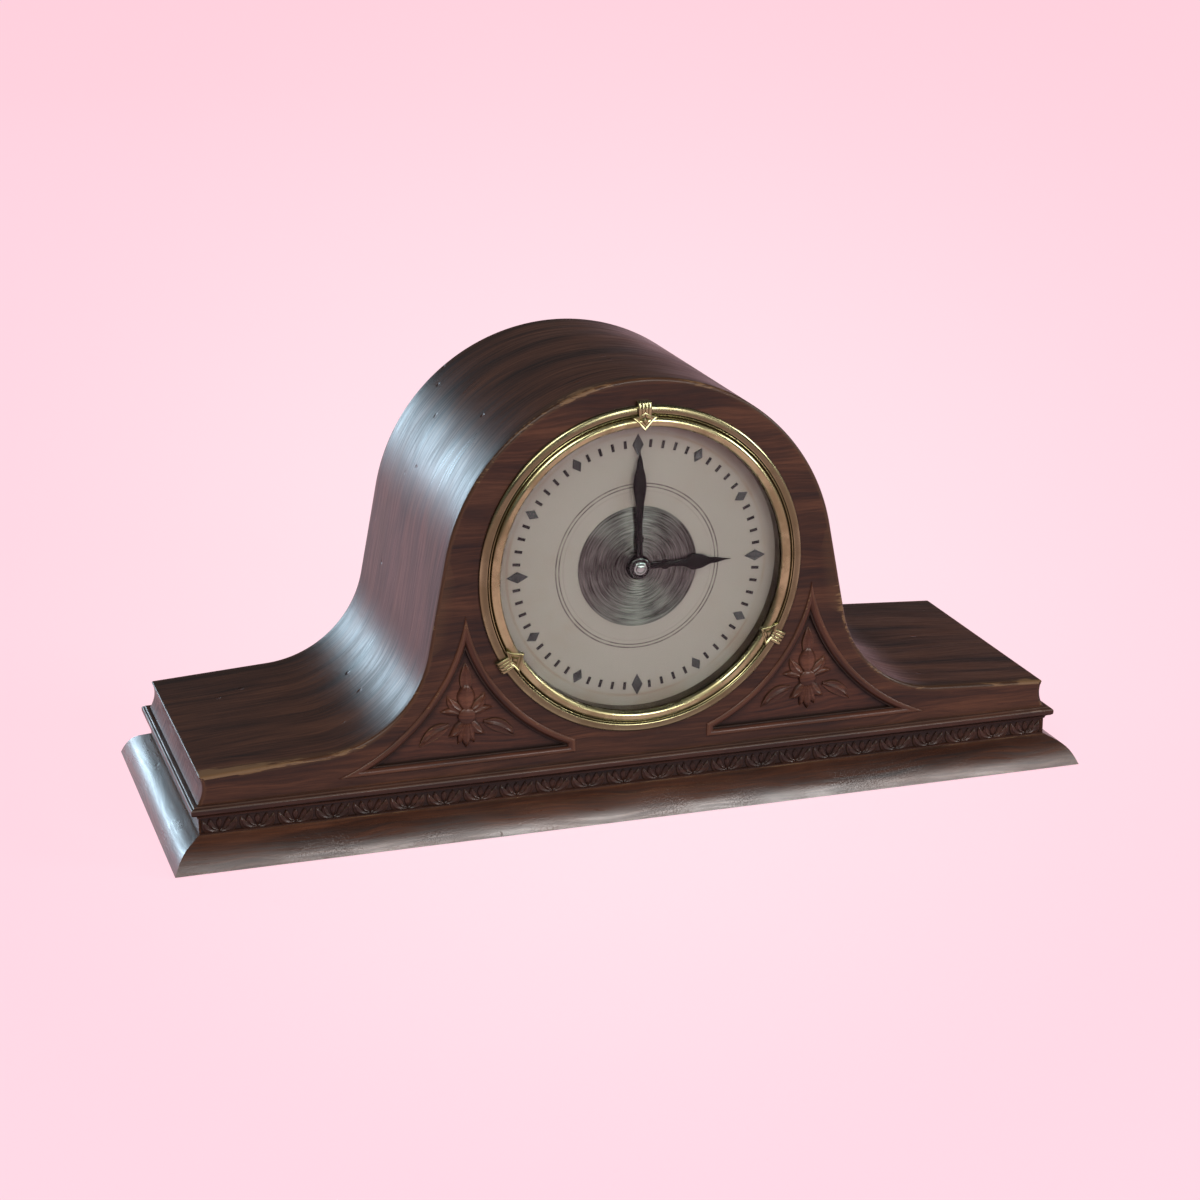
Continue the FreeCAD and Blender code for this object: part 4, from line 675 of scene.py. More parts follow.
@dataclass(frozen=True)
class SpunSteel(Finish):
    """Steel disc with circular brushing round the dial's centre."""

    bright: Colour = (0.208, 0.240, 0.212, 1)
    dark: Colour = (0.014, 0.0175, 0.0155, 1)

    def inputs(self, sheet: Sheet, effects: Effects) -> dict[str, object]:
        """Values and sockets of the shader by name."""
        across, up, radius = sheet.around_dial(HALF_DEPTH)
        angle = sheet.math("ARCTAN2", up, across)
        turned = sheet.node("CombineXYZ", {0: sheet.times(radius, 1500), 1: sheet.times(angle, 1.3)}).outputs[0]
        rings = sheet.noise(turned, 1.0, 4.0, 0.7)
        stain = sheet.group(effects.tarnish, Vector=sheet.place())
        tone = sheet.span(sheet.blend(rings, 0.75, stain["Cloud"], 0.35), 0.38, 0.72)
        return {
            "Base Color": sheet.mix(tone, self.dark, self.bright), "Metallic": 1.0,
            "Roughness": sheet.span(rings, 0.3, 0.7, 0.36, 0.48), "Normal": sheet.bump(rings, 0.22, 0.0004),
            "Tangent": sheet.node("Tangent", direction_type="RADIAL", axis="Y").outputs[0],
            "Anisotropic": 0.96, "Anisotropic Rotation": 0.25,
        }


@dataclass(frozen=True)
class DialPaint(Finish):
    """Aged paint of the dial with thin printed rings."""

    paint: Colour = (0.266, 0.272, 0.232, 1)
    stain: Colour = (0.225, 0.185, 0.133, 1)
    print_tone: Colour = (0.075, 0.066, 0.062, 1)
    rings: tuple = ((38.0, 0.2, 0.28), (40.1, 0.30, 1.0), (41.7, 0.34, 1.0))
    tide: float = 66.4

    def inputs(self, sheet: Sheet, effects: Effects) -> dict[str, object]:
        """Values and sockets of the shader by name."""
        place = sheet.place()
        radius = sheet.around_dial(0)[2]
        broad = sheet.noise(place, 28.0, 5.0, 0.6)
        fine = sheet.noise(place, 420.0, 3.0, 0.6)
        tone = sheet.blend(broad, 0.8, fine, 0.25)
        colour = sheet.mix(sheet.span(tone, 0.5, 0.85, 0.0, 0.55), self.paint, self.stain)
        rim = sheet.span(radius, 0.060, 0.0735)
        foxing = sheet.times(rim, sheet.span(sheet.noise(place, 55.0, 4.0), 0.42, 0.68, 0.15, 0.6))
        colour = sheet.mix(foxing, colour, self.stain)

        def line(middle: float, near: float, far: float, strength: float) -> Socket:
            """Ring that fades out between two distances from a radius."""
            away = sheet.math("ABSOLUTE", sheet.minus(radius, middle * MM))
            return sheet.span(away, near * MM, far * MM, strength, 0.0)

        tide = sheet.times(line(self.tide, 0.2, 1.1, 0.7), sheet.span(broad, 0.4, 0.62, 0.3, 1.0))
        colour = sheet.mix(tide, colour, self.stain)
        ink = None
        for middle, width, strength in self.rings:
            ring = line(middle, width * 0.6, width * 1.3, strength)
            ink = ring if ink is None else sheet.math("MAXIMUM", ink, ring)
        faded = sheet.times(ink, sheet.span(sheet.noise(place, 240.0), 0.3, 0.6, 0.55, 1.0))
        height = sheet.minus(sheet.times(fine, 0.25), sheet.times(faded, 0.5))
        return {
            "Base Color": sheet.mix(faded, colour, self.print_tone),
            "Roughness": sheet.span(tone, 0.4, 0.8, 0.5, 0.64), "Normal": sheet.bump(height, 0.25, 0.0004),
        }


@dataclass(frozen=True)
class Enamel(Finish):
    """Dark enamel with a cloudy tone."""

    tone: Colour
    cloudy: Colour
    roughness: float
    specular: float = 0.14

    def inputs(self, sheet: Sheet, effects: Effects) -> dict[str, object]:
        """Values and sockets of the shader by name."""
        stain = sheet.group(effects.tarnish, Vector=sheet.place())
        cloud = stain["Cloud"]
        return {
            "Base Color": sheet.mix(sheet.span(cloud, 0.4, 0.66), self.tone, self.cloudy),
            "Roughness": sheet.span(cloud, 0.3, 0.7, self.roughness - 0.05, self.roughness + 0.08),
            "Normal": sheet.bump(stain["Fine"], 0.05, 0.0003), "Specular IOR Level": self.specular,
        }


@dataclass(frozen=True)
class ClearGlass(Finish):
    """Thin clear glass with faint smudges."""

    def inputs(self, sheet: Sheet, effects: Effects) -> dict[str, object]:
        """Values and sockets of the shader by name."""
        smudge = sheet.noise(sheet.place(), 45.0, 4.0, 0.6)
        return {
            "Roughness": sheet.span(smudge, 0.5, 0.75, 0.0, 0.05), "Base Color": (0.97, 0.975, 0.97, 1),
            "Transmission Weight": 1.0, "IOR": 1.16,
        }


@dataclass(frozen=True)
class Felt(Finish):
    """Dense felt."""

    tone: Colour = (0.02, 0.055, 0.03, 1)

    def inputs(self, sheet: Sheet, effects: Effects) -> dict[str, object]:
        """Values and sockets of the shader by name."""
        fibres = sheet.noise(sheet.place(), 1600.0, 5.0, 0.75, 0.8)
        return {
            "Base Color": sheet.mix(sheet.span(fibres, 0.35, 0.7), self.tone, shade(self.tone, 2.2)),
            "Roughness": sheet.span(fibres, 0.3, 0.7, 0.85, 1.0), "Normal": sheet.bump(fibres, 0.6, 0.0005),
            "Sheen Weight": 0.35,
        }


# ---------------------------------------------------------------- case


@dataclass
class CaseShell:
    """Outside of the tambour case: front face, bent top, back face and coved ends."""

    depth: float = 2 * HALF_DEPTH
    foot: float = 29.6
    arch_radius: float = 100.0
    arch_z: float = 120.0
    lean: float = 11.0
    cove_radius: float = 56.0
    fall: float = 3.4
    end: Pair = (219.6, 43.6)
    end_cove: float = 1.8
    arris: float = 1.5
    wall_thickness: float = 5.0
    front_seam: float = 7.5
    back_seam: float = 134.0
    opening: float = 74.8
    step: float = 1.6
    door_half: float = 58.0
    door_low: float = 62.0
    door_spring: float = 118.0
    # rubbed places of the front edge along X: where, and how far they reach
    left_shoulder: Pair = (-196.0, 84.0)
    crown: Pair = (-32.0, 38.0)
    right_side: Pair = (88.0, 14.0)
    right_end: Pair = (212.0, 12.0)
    crown_low: float = 180.0
    # wear across the edge: its least width, and what much rubbing adds
    wear_width: float = 4.0
    wear_growth: float = 32.0

    def right_half(self) -> list[Pair]:
        """Outline from the top of the arch down the right side to the foot."""
        lean, fall = math.radians(self.lean), math.radians(self.fall)
        across = self.arch_z * math.sin(lean) + self.arch_radius + self.cove_radius
        along = self.end[0] * math.sin(fall) + self.end[1] * math.cos(fall) + self.cove_radius
        spread = math.cos(lean + fall)
        cx = (across * math.cos(fall) - math.sin(lean) * along) / spread
        cz = (math.cos(lean) * along - across * math.sin(fall)) / spread
        points = arc((0, self.arch_z), self.arch_radius, 90, self.lean, self.step)
        points += arc((cx, cz), self.cove_radius, 180 + self.lean, 270 - self.fall, self.step)
        low = points[-1]
        points += [between(low, self.end, i / 24) for i in range(1, 24)]
        rounding = ((-1.3, 0.08), (-0.7, 0.04), (-0.22, -0.12), (-0.02, -0.6))
        points += [(self.end[0] + x, self.end[1] + z) for x, z in rounding]
        for i in range(1, 11):
            t = i / 10
            x, z = between(self.end, (HALF_WIDTH, self.foot), t)
            points.append((x - self.end_cove * 4 * t * (1 - t), z))
        return points

    def both_halves(self, half: list[Pair]) -> list[Pair]:
        """Outline from the left to the right, from its right half."""
        return [(-x, z) for x, z in reversed(half[1:])] + half

    def lengths(self, points: Sequence[Pair]) -> list[float]:
        """Distance along the outline of each point, from its middle."""
        total = [0.0]
        for before, after in zip(points, points[1:]):
            total.append(total[-1] + math.dist(before, after))
        return [t - total[-1] / 2 for t in total]

    def handled(self, place: Pair) -> float:
        """How much a place on the front edge was rubbed, from 0 to 1."""
        x, z = place
        if z < self.end[1] - 0.4:
            return 0.5
        left = tent(max(x, self.left_shoulder[0]), *self.left_shoulder)
        crown = tent(x, *self.crown) if z > self.crown_low else 0.0
        right = min(1.0, max(0.0, (x - self.right_side[0]) / self.right_side[1])) * 0.3
        return 0.6 + 0.4 * max(left, crown, right, tent(x, *self.right_end) * 0.6)

    def skin(self, mesh: Mesh, section: Sequence[Pair]) -> None:
        """Add the strip over the top that a section of (inset, depth) sweeps."""
        points = self.both_halves(self.right_half())
        moved = [offset(points, inset) for inset, _ in section]
        rows = []
        for i, (point, run) in enumerate(zip(points, self.lengths(points))):
            corner = max(0.0, 1 - math.dist((abs(point[0]), point[1]), self.end) / 1.2) * 0.8
            row = []
            for (inset, depth), line in zip(section, moved):
                front_half = depth < HALF_DEPTH
                edge = max(depth if front_half else self.depth - depth, 0.0)
                held = self.handled(point) if front_half else 0.6
                reach = self.wear_width + self.wear_growth * max(0.0, held - 0.66)
                worn = max(min(1.0, max(0.0, 1.4 - 1.4 * edge / reach)) * held, corner)
                row.append((at(line[i][0], depth, line[i][1]), (run * MM, (depth - inset) * MM, 0.0), worn, 0.0))
            rows.append(row)
        mesh.add_wood(rows, away_from(CORE))

    def rounded(self, front: bool) -> list[Pair]:
        """Quarter-round arris as (inset, depth), in order of depth."""
        pairs = []
        for along, up in quarter(5):
            into = self.arris * (1 - along)
            pairs.append((self.arris * (1 - up), into if front else self.depth - into))
        return pairs if front else pairs[::-1]

    def lining(self, mesh: Mesh) -> None:
        """Add the inner side of the bent top, between the front and the back."""
        half = [p for p in self.right_half() if p[1] > self.end[1] + 1 or p[0] < self.end[0] - 14]
        half = [p for p in half if p[0] < self.end[0] - 7]
        points = offset(self.both_halves(half), self.wall_thickness)
        seams = (self.front_seam, self.back_seam)
        rows = [
            [(at(x, depth, z), (run * MM, depth * MM, 0.0), 0.0, 0.0) for depth in seams]
            for (x, z), run in zip(points, self.lengths(points))
        ]
        mesh.add_wood(rows, towards(CORE))

    def face(
        self, mesh: Mesh, depth: float, holes: Sequence[Sequence[Pair]], look: Callable, inner: bool = False,
    ) -> None:
        """Add a flat face.

        Args:
            mesh: what it is added to.
            depth: depth of the face.
            holes: its openings.
            look: way in which it looks.
            inner: whether it is the plain inner side of a panel.
        """
        outline = self.both_halves(self.right_half())
        outer = offset(outline, 0.02 if inner else self.arris)
        share = 0.0 if inner else 0.97
        rubbed = {(round(x, 3), round(z, 3)): self.handled((x, z)) * share for x, z in outer}
        loose = []
        for gap in () if inner else (2.0, 4.5):
            ring = offset(outline, self.arris + gap)
            loose += [p for p in ring if gap_to(p, outer) > gap * 0.9 and p[1] > self.foot + 1]
        loose = [p for p in loose if all(gap_to(p, hole) > 0.6 for hole in holes)]
        points, triangles = flat_fill(outer, holes, loose)
        wear = [rubbed.get((round(x, 3), round(z, 3)), 0.0) for x, z in points]
        mesh.add(
            [at(x, depth, z) for x, z in points], triangles, look,
            grain=[(x * MM, z * MM, 0.0) for x, z in points], wear=wear, recess=[0.0] * len(points),
        )

    def wall(self, mesh: Mesh, loop: Sequence[Pair], start: float, end: float) -> None:
        """Add the wall of an opening between two depths."""
        rows = [[(at(x, d, z), (x * MM, z * MM, d * MM), 0.0, 0.0) for d in (start, end)] for x, z in loop]
        centre = sum((point[0] for row in rows for point in row), Vector()) / (2 * len(loop))
        mesh.add_wood(rows, towards(centre), wrap=True)

    def build(self, pockets: Sequence[Sequence[Pair]]) -> list[bpy.types.Object]:
        """Make the three outer pieces.

        Args:
            pockets: further openings of the front face beside that for the dial.

        Returns:
            The front, the band and the back.
        """
        opening = arc(DIAL, self.opening, 0, 360, self.step)[:-1]
        door = [(-self.door_half, self.door_low), (self.door_half, self.door_low)]
        door += arc((0, self.door_spring), self.door_half, 0, 180, 1.8)
        front, band, back = Mesh(), Mesh(), Mesh()
        self.face(front, 0, [opening, *pockets], forward)
        self.skin(front, self.rounded(True) + [(0, 4.0), (0, self.front_seam)])
        self.wall(front, opening, 0, self.front_seam)
        self.face(front, self.front_seam, [opening], backward, inner=True)
        self.skin(band, [(0, lerp(self.front_seam, self.back_seam, i / 30)) for i in range(31)])
        self.lining(band)
        self.skin(back, [(0, self.back_seam), (0, self.depth - 4)] + self.rounded(False))
        self.face(back, self.depth, [door], backward)
        self.wall(back, door, self.back_seam, self.depth)
        self.face(back, self.back_seam, [door], forward, inner=True)
        return [
            front.build("case_front", "front_panel", sharp=50), band.build("case_top_band", "case_band", sharp=50),
            back.build("case_back", "back_panel", sharp=50),
        ]


@dataclass
class Moulding:
    """Mitred moulding round the case, from a profile of outward reach, height, and wear that also paints highlight
    lines along the arrises.
    """

    name: str
    node: str
    profile: Sequence[tuple[float, float, float]]
    spacing: float = 6.0

    def build(self) -> bpy.types.Object:
        """Make the four sides.

        Returns:
            The piece.
        """
        mesh = Mesh()
        across = [0.0]
        for before, after in zip(self.profile, self.profile[1:]):
            across.append(across[-1] + math.dist(before[:2], after[:2]))
        for side in range(4):
            half, other = (HALF_DEPTH, HALF_WIDTH) if side % 2 else (HALF_WIDTH, HALF_DEPTH)
            count = max(4, round(2 * half / self.spacing))
            rows = []
            for i in range(count + 1):
                row = []
                for (out, height, worn), down in zip(self.profile, across):
                    run = (i / count * 2 - 1) * (half + out)
                    x, y = (other + out, run) if side % 2 else (run, -(other + out))
                    if side >= 2:
                        x, y = -x, -y
                    row.append((Vector((x, y, height)) * MM, (run * MM + side, down * MM, 0.0), worn, 0.0))
                rows.append(row)
            mesh.add_wood(rows, away_from(CORE))
        return mesh.build(self.name, self.node, sharp=35)


# The third number of each profile point is wear; its high values on the arrises also paint highlight lines.
MOULDINGS = (
    Moulding("base_ovolo", "base_moulding", (
        (0, 14.5, 0.3), (0.35, 14.5, 0.95), (1.1, 14.25, 0.5), (2.4, 13.6, 0.1), (4.0, 12.9, 0), (5.8, 12.0, 0),
        (7.6, 10.85, 0), (9.2, 9.5, 0), (10.6, 7.9, 0), (11.8, 6.1, 0), (12.8, 4.3, 0), (13.6, 2.6, 0),
        (14.15, 1.3, 0.3), (14.4, 0.8, 0.5), (0.5, 0.8, 0),
    )),
    Moulding("ledge_bead", "ledge_moulding", (
        (-12, 25.5, 0), (0.0, 25.5, 0), (2.9, 25.55, 0), (3.45, 25.8, 0), (3.7, 26.2, 0), (3.79, 26.8, 0),
        (3.8, 27.5, 0.1), (3.78, 28.0, 0.3), (3.62, 28.45, 0.62), (3.3, 28.75, 0.62), (2.9, 28.9, 0.2),
        (2.5, 28.98, 0.1), (2.35, 29.2, 0.2), (2.1, 29.45, 0.62), (1.7, 29.58, 0.62), (1.2, 29.6, 0.3),
        (-12, 29.6, 0),
    )),
    Moulding("ledge_cove", "", (
        (-0.4, 23.1, 0), (0.3, 23.1, 0.2), (0.5, 23.25, 0.4), (0.6, 23.6, 0.2), (0.75, 24.1, 0), (1.1, 24.55, 0),
        (1.6, 24.9, 0), (2.2, 25.15, 0), (2.8, 25.3, 0.1), (3.1, 25.5, 0.2), (-0.4, 25.5, 0),
    )),
)


# ---------------------------------------------------------------- carving


@dataclass
class Leaf:
    """Carved leaf along a bent middle line."""

    base: Pair
    tip: Pair
    width: float
    height: float
    ground: float
    bend: float = 0.0
    rim: float = 0.0
    rib: float = 0.0
    belly: float = 0.45

    def middle(self, share: float) -> Pair:
        """Point of the middle line."""
        side = self.bend * math.sin(math.pi * share) / math.dist(self.base, self.tip)
        x, z = between(self.base, self.tip, share)
        return (x - (self.tip[1] - self.base[1]) * side, z + (self.tip[0] - self.base[0]) * side)

    def half(self, share: float) -> float:
        """Half width at a share of the length."""
        turn = share ** (math.log(0.5) / math.log(self.belly))
        swell = math.sin(math.pi * min(turn, 1.0)) ** 0.85
        stem = 0.36 * (1 - share / self.belly) if share < self.belly else 0.0
        return self.width / 2 * max(swell, stem, 0.0)

    def rise(self, edge: float) -> float:
        """Height across the leaf, from 0 in the middle to 1 at the edge."""
        rim = self.rim * (tent(edge, 0.78, 0.16) - 0.8 * tent(edge, 0.4, 0.36))
        return (1 - edge**4) * (0.72 + 0.28 * (1 - edge)) + rim + self.rib * tent(edge, 0, 0.2)

    def add_to(self, mesh: Mesh, count: int = 18, cols: int = 13) -> None:
        """Add the leaf's surface.

        Args:
            mesh: what it is added to.
            count: points along the leaf.
            cols: points across it.
        """
        rows = []
        for i in range(count):
            u = i / (count - 1)
            here = self.middle(u)
            ahead, behind = self.middle(min(1.0, u + 0.02)), self.middle(max(0.0, u - 0.02))
            way = (ahead[0] - behind[0], ahead[1] - behind[1])
            size = math.hypot(*way) or 1.0
            body = min(1.0, self.half(u) / (self.width / 2) * 1.6 + 0.12)
            row = []
            for j in range(cols):
                v = j / (cols - 1) * 2 - 1
                edge = abs(v)
                last = edge > 0.999
                top = -0.4 if last else self.height * self.rise(edge) * body
                x = here[0] - way[1] / size * self.half(u) * v
                z = here[1] + way[0] / size * self.half(u) * v
                ridge = tent(edge, 0.8, 0.2) if self.rim else tent(edge, 0, 0.3) * 0.5
                worn = min(1.0, ridge + (u > 0.93) * 0.5)
                # Painted shade round the leaf's edge, where it meets the ground.
                sunk_shade = 1.0 if last else 0.25 * (edge > 0.8)
                row.append((at(x, self.ground - top, z), (x * MM, z * MM, top * MM), worn, sunk_shade))
            rows.append(row)
        mesh.add_wood(rows)


@dataclass
class Spandrels:
    """Carved three-sided panels beside the dial: frame, ground and spray."""

    inner_radius: float = 90.0
    apex_z: float = 110.4
    tip_x: float = 153.0
    bottom: float = 34.9
    block_x: float = 34.2
    sweep_radius: float = 100.0
    side: float = 4.6
    bar: float = 3.7
    pocket: float = 3.0
    stand: float = 0.85
    rosette: Pair = (88.6, 59.0)
    ball: float = 4.3
    ball_stem: float = 1.5
    ball_rise: float = 1.35
    steps: int = 40

    def corners(self, inset: float) -> tuple[Pair, Pair, Pair, Pair, Pair]:
        """Apex, tip, heel, upper heel and sweep centre of the outline moved inwards."""
        start = (self.tip_x, self.bottom)
        end = (math.sqrt(self.inner_radius**2 - (self.apex_z - DIAL_Z) ** 2), self.apex_z)
        run = (end[0] - start[0], end[1] - start[1])
        span = math.hypot(*run)
        rise = math.sqrt(self.sweep_radius**2 - (span / 2) ** 2)
        middle = between(start, end, 0.5)
        sweep = (middle[0] + rise * run[1] / span, middle[1] - rise * run[0] / span)
        inner = self.inner_radius + inset * self.side
        outer = self.sweep_radius + inset * self.side
        low = self.bottom + inset * self.bar
        gap = math.hypot(sweep[0], sweep[1] - DIAL_Z)
        along = (gap**2 + inner**2 - outer**2) / (2 * gap)
        away = math.sqrt(max(inner**2 - along**2, 0.0))
        ux, uz = sweep[0] / gap, (sweep[1] - DIAL_Z) / gap
        both = [(along * ux - s * away * uz, DIAL_Z + along * uz + s * away * ux) for s in (1, -1)]
        tip = (sweep[0] - math.sqrt(outer**2 - (low - sweep[1]) ** 2), low)
        heel_x = self.block_x if not inset else math.sqrt(inner**2 - (low - DIAL_Z) ** 2)
        upper = (heel_x, DIAL_Z - math.sqrt(inner**2 - heel_x**2))
        return min(both, key=lambda p: p[1]), tip, (heel_x, low), upper, sweep

    def side_points(self, inset: float) -> list[list[Pair]]:
        """Points of the sweep, bottom, heel and dial sides, each from corner to corner."""
        apex, tip, heel, upper, sweep = self.corners(inset)
        shares = [i / self.steps for i in range(self.steps + 1)]

        def bow(centre: Pair, start: Pair, end: Pair) -> list[Pair]:
            """Points on a circle between two places."""
            a0, a1 = (math.degrees(math.atan2(p[1] - centre[1], p[0] - centre[0])) for p in (start, end))
            a1 += 360 if a1 - a0 < -180 else -360 if a1 - a0 > 180 else 0
            return [polar(centre, math.dist(start, centre), lerp(a0, a1, share)) for share in shares]

        def straight(start: Pair, end: Pair) -> list[Pair]:
            """Points on a line between two places."""
            return [between(start, end, share) for share in shares]

        return [bow(sweep, apex, tip), straight(tip, heel), straight(heel, upper), bow(DIAL, upper, apex)]

    def hole(self) -> list[Pair]:
        """Outline of the pocket in the front panel, on the right."""
        return [p for row in self.side_points(0) for p in row[:-1]]

    def build(self) -> list[bpy.types.Object]:
        """Make both frames with their grounds, and both sprays.

        Returns:
            The frames and the carvings.
        """
        frames, sprays = Mesh(), Mesh()
        self.add_frame(frames)
        self.add_ground(frames)
        self.add_spray(sprays)
        for mesh in (frames, sprays):
            other = [Vector((-v.x, v.y, v.z)) for v in mesh.verts]
            values = {key: list(row) for key, row in mesh.values.items()}
            mesh.add(other, [face[::-1] for face in mesh.faces], None, **values)
        return [
            frames.build("spandrel_borders", "spandrel_frames", sharp=48),
            sprays.build("spandrel_sprays", "spandrel_carvings", sharp=48),
        ]

    def add_frame(self, mesh: Mesh) -> None:
        """Add the border of the right spandrel."""
        stand = self.stand
        section = (
            # share of the width, depth, wear
            (0.0, 0.05, 0.0), (0.0, -stand * 0.25, 0.1), (0.03, -stand * 0.55, 0.3), (0.08, -stand * 0.8, 0.6),
            (0.16, -stand * 0.96, 0.8), (0.27, -stand, 0.6), (0.40, -stand * 0.94, 0.3), (0.53, -stand * 0.74, 0.1),
            (0.65, -stand * 0.38, 0.0), (0.74, 0.12, 0.0), (0.81, 0.65, 0.0), (0.85, 1.0, 0.0), (0.88, 1.08, 0.2),
            (0.94, 1.08, 0.6), (0.98, 1.25, 0.4), (1.0, 1.6, 0.0), (1.0, self.pocket, 0.0),
        )
        for out_row, in_row in zip(self.side_points(0), self.side_points(1)):
            rows = []
            run = 0.0
            for k, (a, b) in enumerate(zip(out_row, in_row)):
                run += math.dist(a, out_row[k - 1]) if k else 0.0
                row = []
                for share, depth, worn in section:
                    x, z = between(a, b, share)
                    grain = (run * MM, (share * self.side + depth) * MM, 0.0)
                    # The last value paints shade on the wall that falls from the frame into the pocket.
                    row.append((at(x, depth, z), grain, worn, min(1.0, max(0.0, (depth + 0.1) / 1.1))))
                rows.append(row)
            mesh.add_wood(rows)

    def add_ground(self, mesh: Mesh) -> None:
        """Add the ground of the right spandrel, with painted shade that darkens it towards its border."""
        floor = [p for row in self.side_points(1) for p in row[:-1]]
        clean = [p for i, p in enumerate(floor) if math.dist(p, floor[i - 1]) > 1e-3]
        pitch = 1.7
        spots = [(self.block_x + pitch * i, self.bottom + pitch * j) for i in range(75) for j in range(46)]
        loose = [spot for spot in spots if inside(spot, clean) and gap_to(spot, clean) > 1.0]
        points, triangles = flat_fill(clean, (), loose)
        mesh.add(
            [at(x, self.pocket - 0.02, z) for x, z in points], triangles,
            grain=[(x * MM, z * MM, 0.0) for x, z in points], wear=[0.0] * len(points),
            # Painted shade on the ground, strongest next to the border.
            recess=[max(0.0, 1 - gap_to(p, clean) / 3.6) for p in points],
        )

    def add_spray(self, mesh: Mesh) -> None:
        """Add the flower with its leaves, on the right."""
        cx, cz = self.rosette
        leaves = (
            # base and tip from the rosette, width, height, bend, rim, rib, belly
            (0, 12.0, 0.2, 27.2, 7.0, 1.6, 0, 0.34, 0, 0.4),
            (-1.6, 2.2, -9.4, 11.0, 5.6, 1.9, 1.3, 0.2, 0.12, 0.45),
            (1.6, 2.2, 9.4, 11.0, 5.6, 1.9, -1.3, 0.2, 0.12, 0.45),
            (-2.6, 0.6, -13.2, 3.0, 4.4, 1.6, -0.9, 0, 0.2, 0.45),
            (2.6, 0.6, 13.2, 3.0, 4.4, 1.6, 0.9, 0, 0.2, 0.45),
            (-8.6, -4.2, -24.6, -13.2, 7.4, 1.8, -1.6, 0.38, 0, 0.42),
            (8.6, -4.2, 23.8, -13.8, 7.4, 1.8, 1.6, 0.38, 0, 0.42),
            (-1.6, -1.4, -9.2, -10.2, 6.2, 2.0, 1.4, 0, 0.15, 0.45),
            (1.6, -1.4, 9.2, -10.2, 6.2, 2.0, -1.4, 0, 0.15, 0.45),
            (-0.8, -1.8, -3.8, -14.6, 5.2, 2.1, 0.6, 0, 0.12, 0.45),
            (0.8, -1.8, 4.6, -14.6, 5.2, 2.1, -0.6, 0, 0.12, 0.45),
            (0, 1.5, 0.1, 17.4, 9.8, 2.4, 0, 0, 0.1, 0.5),
            (0, -1.5, 0.4, -16.6, 6.4, 2.4, 0, 0, 0.12, 0.5),
        )
        for x0, z0, x1, z1, width, height, *form in leaves:
            Leaf((cx + x0, cz + z0), (cx + x1, cz + z1), width, height, self.pocket, *form).add_to(mesh)
        low = self.pocket - self.ball_stem
        dome = [(self.ball, self.pocket)]
        dome += [(self.ball * along + 0.001, low - self.ball_rise * up) for along, up in quarter(8)]
        start = len(mesh.verts)
        revolve(mesh, dome, 40, centre=self.rosette)
        foot = at(0, self.pocket - 0.5, 0).y
        for v in mesh.verts[start:]:
            mesh.values["grain"].append((v.x, v.z, 0.0))
            mesh.values["wear"].append(0.25)
            # Painted shade on the stem behind the ball.
            mesh.values["recess"].append(float(v.y > foot))


@dataclass
class Frieze:
    """Strip under the ledge with carved open leaves on its front."""

    low: float = 14.5
    high: float = 25.5
    pitch: float = 18.35
    count: int = 24
    ground: float = 1.25
    steps: int = 120

    def build(self) -> bpy.types.Object:
        """Make the front strip.

        Returns:
            The piece.
        """
        mesh = Mesh()
        low, high, ground = self.low, self.high, self.ground
        section = (
            # depth, height, wear, recess shade; the recess shade is painted shade that deepens towards the top, under
            # the ledge
            (0.0, low - 0.2, 0.35, 0.0), (0.0, low + 0.45, 0.35, 0.0), (ground, low + 0.9, 0.0, 0.5),
            (ground, low + 4.0, 0.0, 0.3), (ground, high - 2.6, 0.0, 0.8), (ground, high, 0.0, 1.0),
        )
        places = [lerp(-HALF_WIDTH, HALF_WIDTH, i / self.steps) for i in range(self.steps + 1)]
        mesh.add_wood([[(at(x, d, z), (x * MM, (z + d) * MM, 0.0), *rest) for d, z, *rest in section] for x in places])
        for number in range(self.count):
            self.add_motif(mesh, (number - (self.count - 1) / 2) * self.pitch)
        return mesh.build("frieze_carving", "frieze_front", sharp=50)

    def add_motif(self, mesh: Mesh, x: float) -> None:
        """Add one open palmette whose leaves spring from its foot."""
        foot, top, ground = self.low + 0.9, self.high - 3.4, self.ground
        Leaf((x, foot + 0.5), (x, top), 3.5, 0.85, ground, rib=0.25, belly=0.55).add_to(mesh, 12, 9)
        for side in (-1, 1):
            outer = (x + side * 0.3, foot - 0.1), (x + side * 8.1, foot + 6.4)
            Leaf(*outer, 4.3, 1.25, ground, bend=side * -2.5, belly=0.5, rim=0.2).add_to(mesh, 18, 13)
            inner = (x + side * 0.5, foot + 0.4), (x + side * 4.5, top)
            Leaf(*inner, 3.8, 1.1, ground, bend=side * -1.4, rib=0.18, belly=0.55).add_to(mesh, 14, 11)


# ---------------------------------------------------------------- dial end


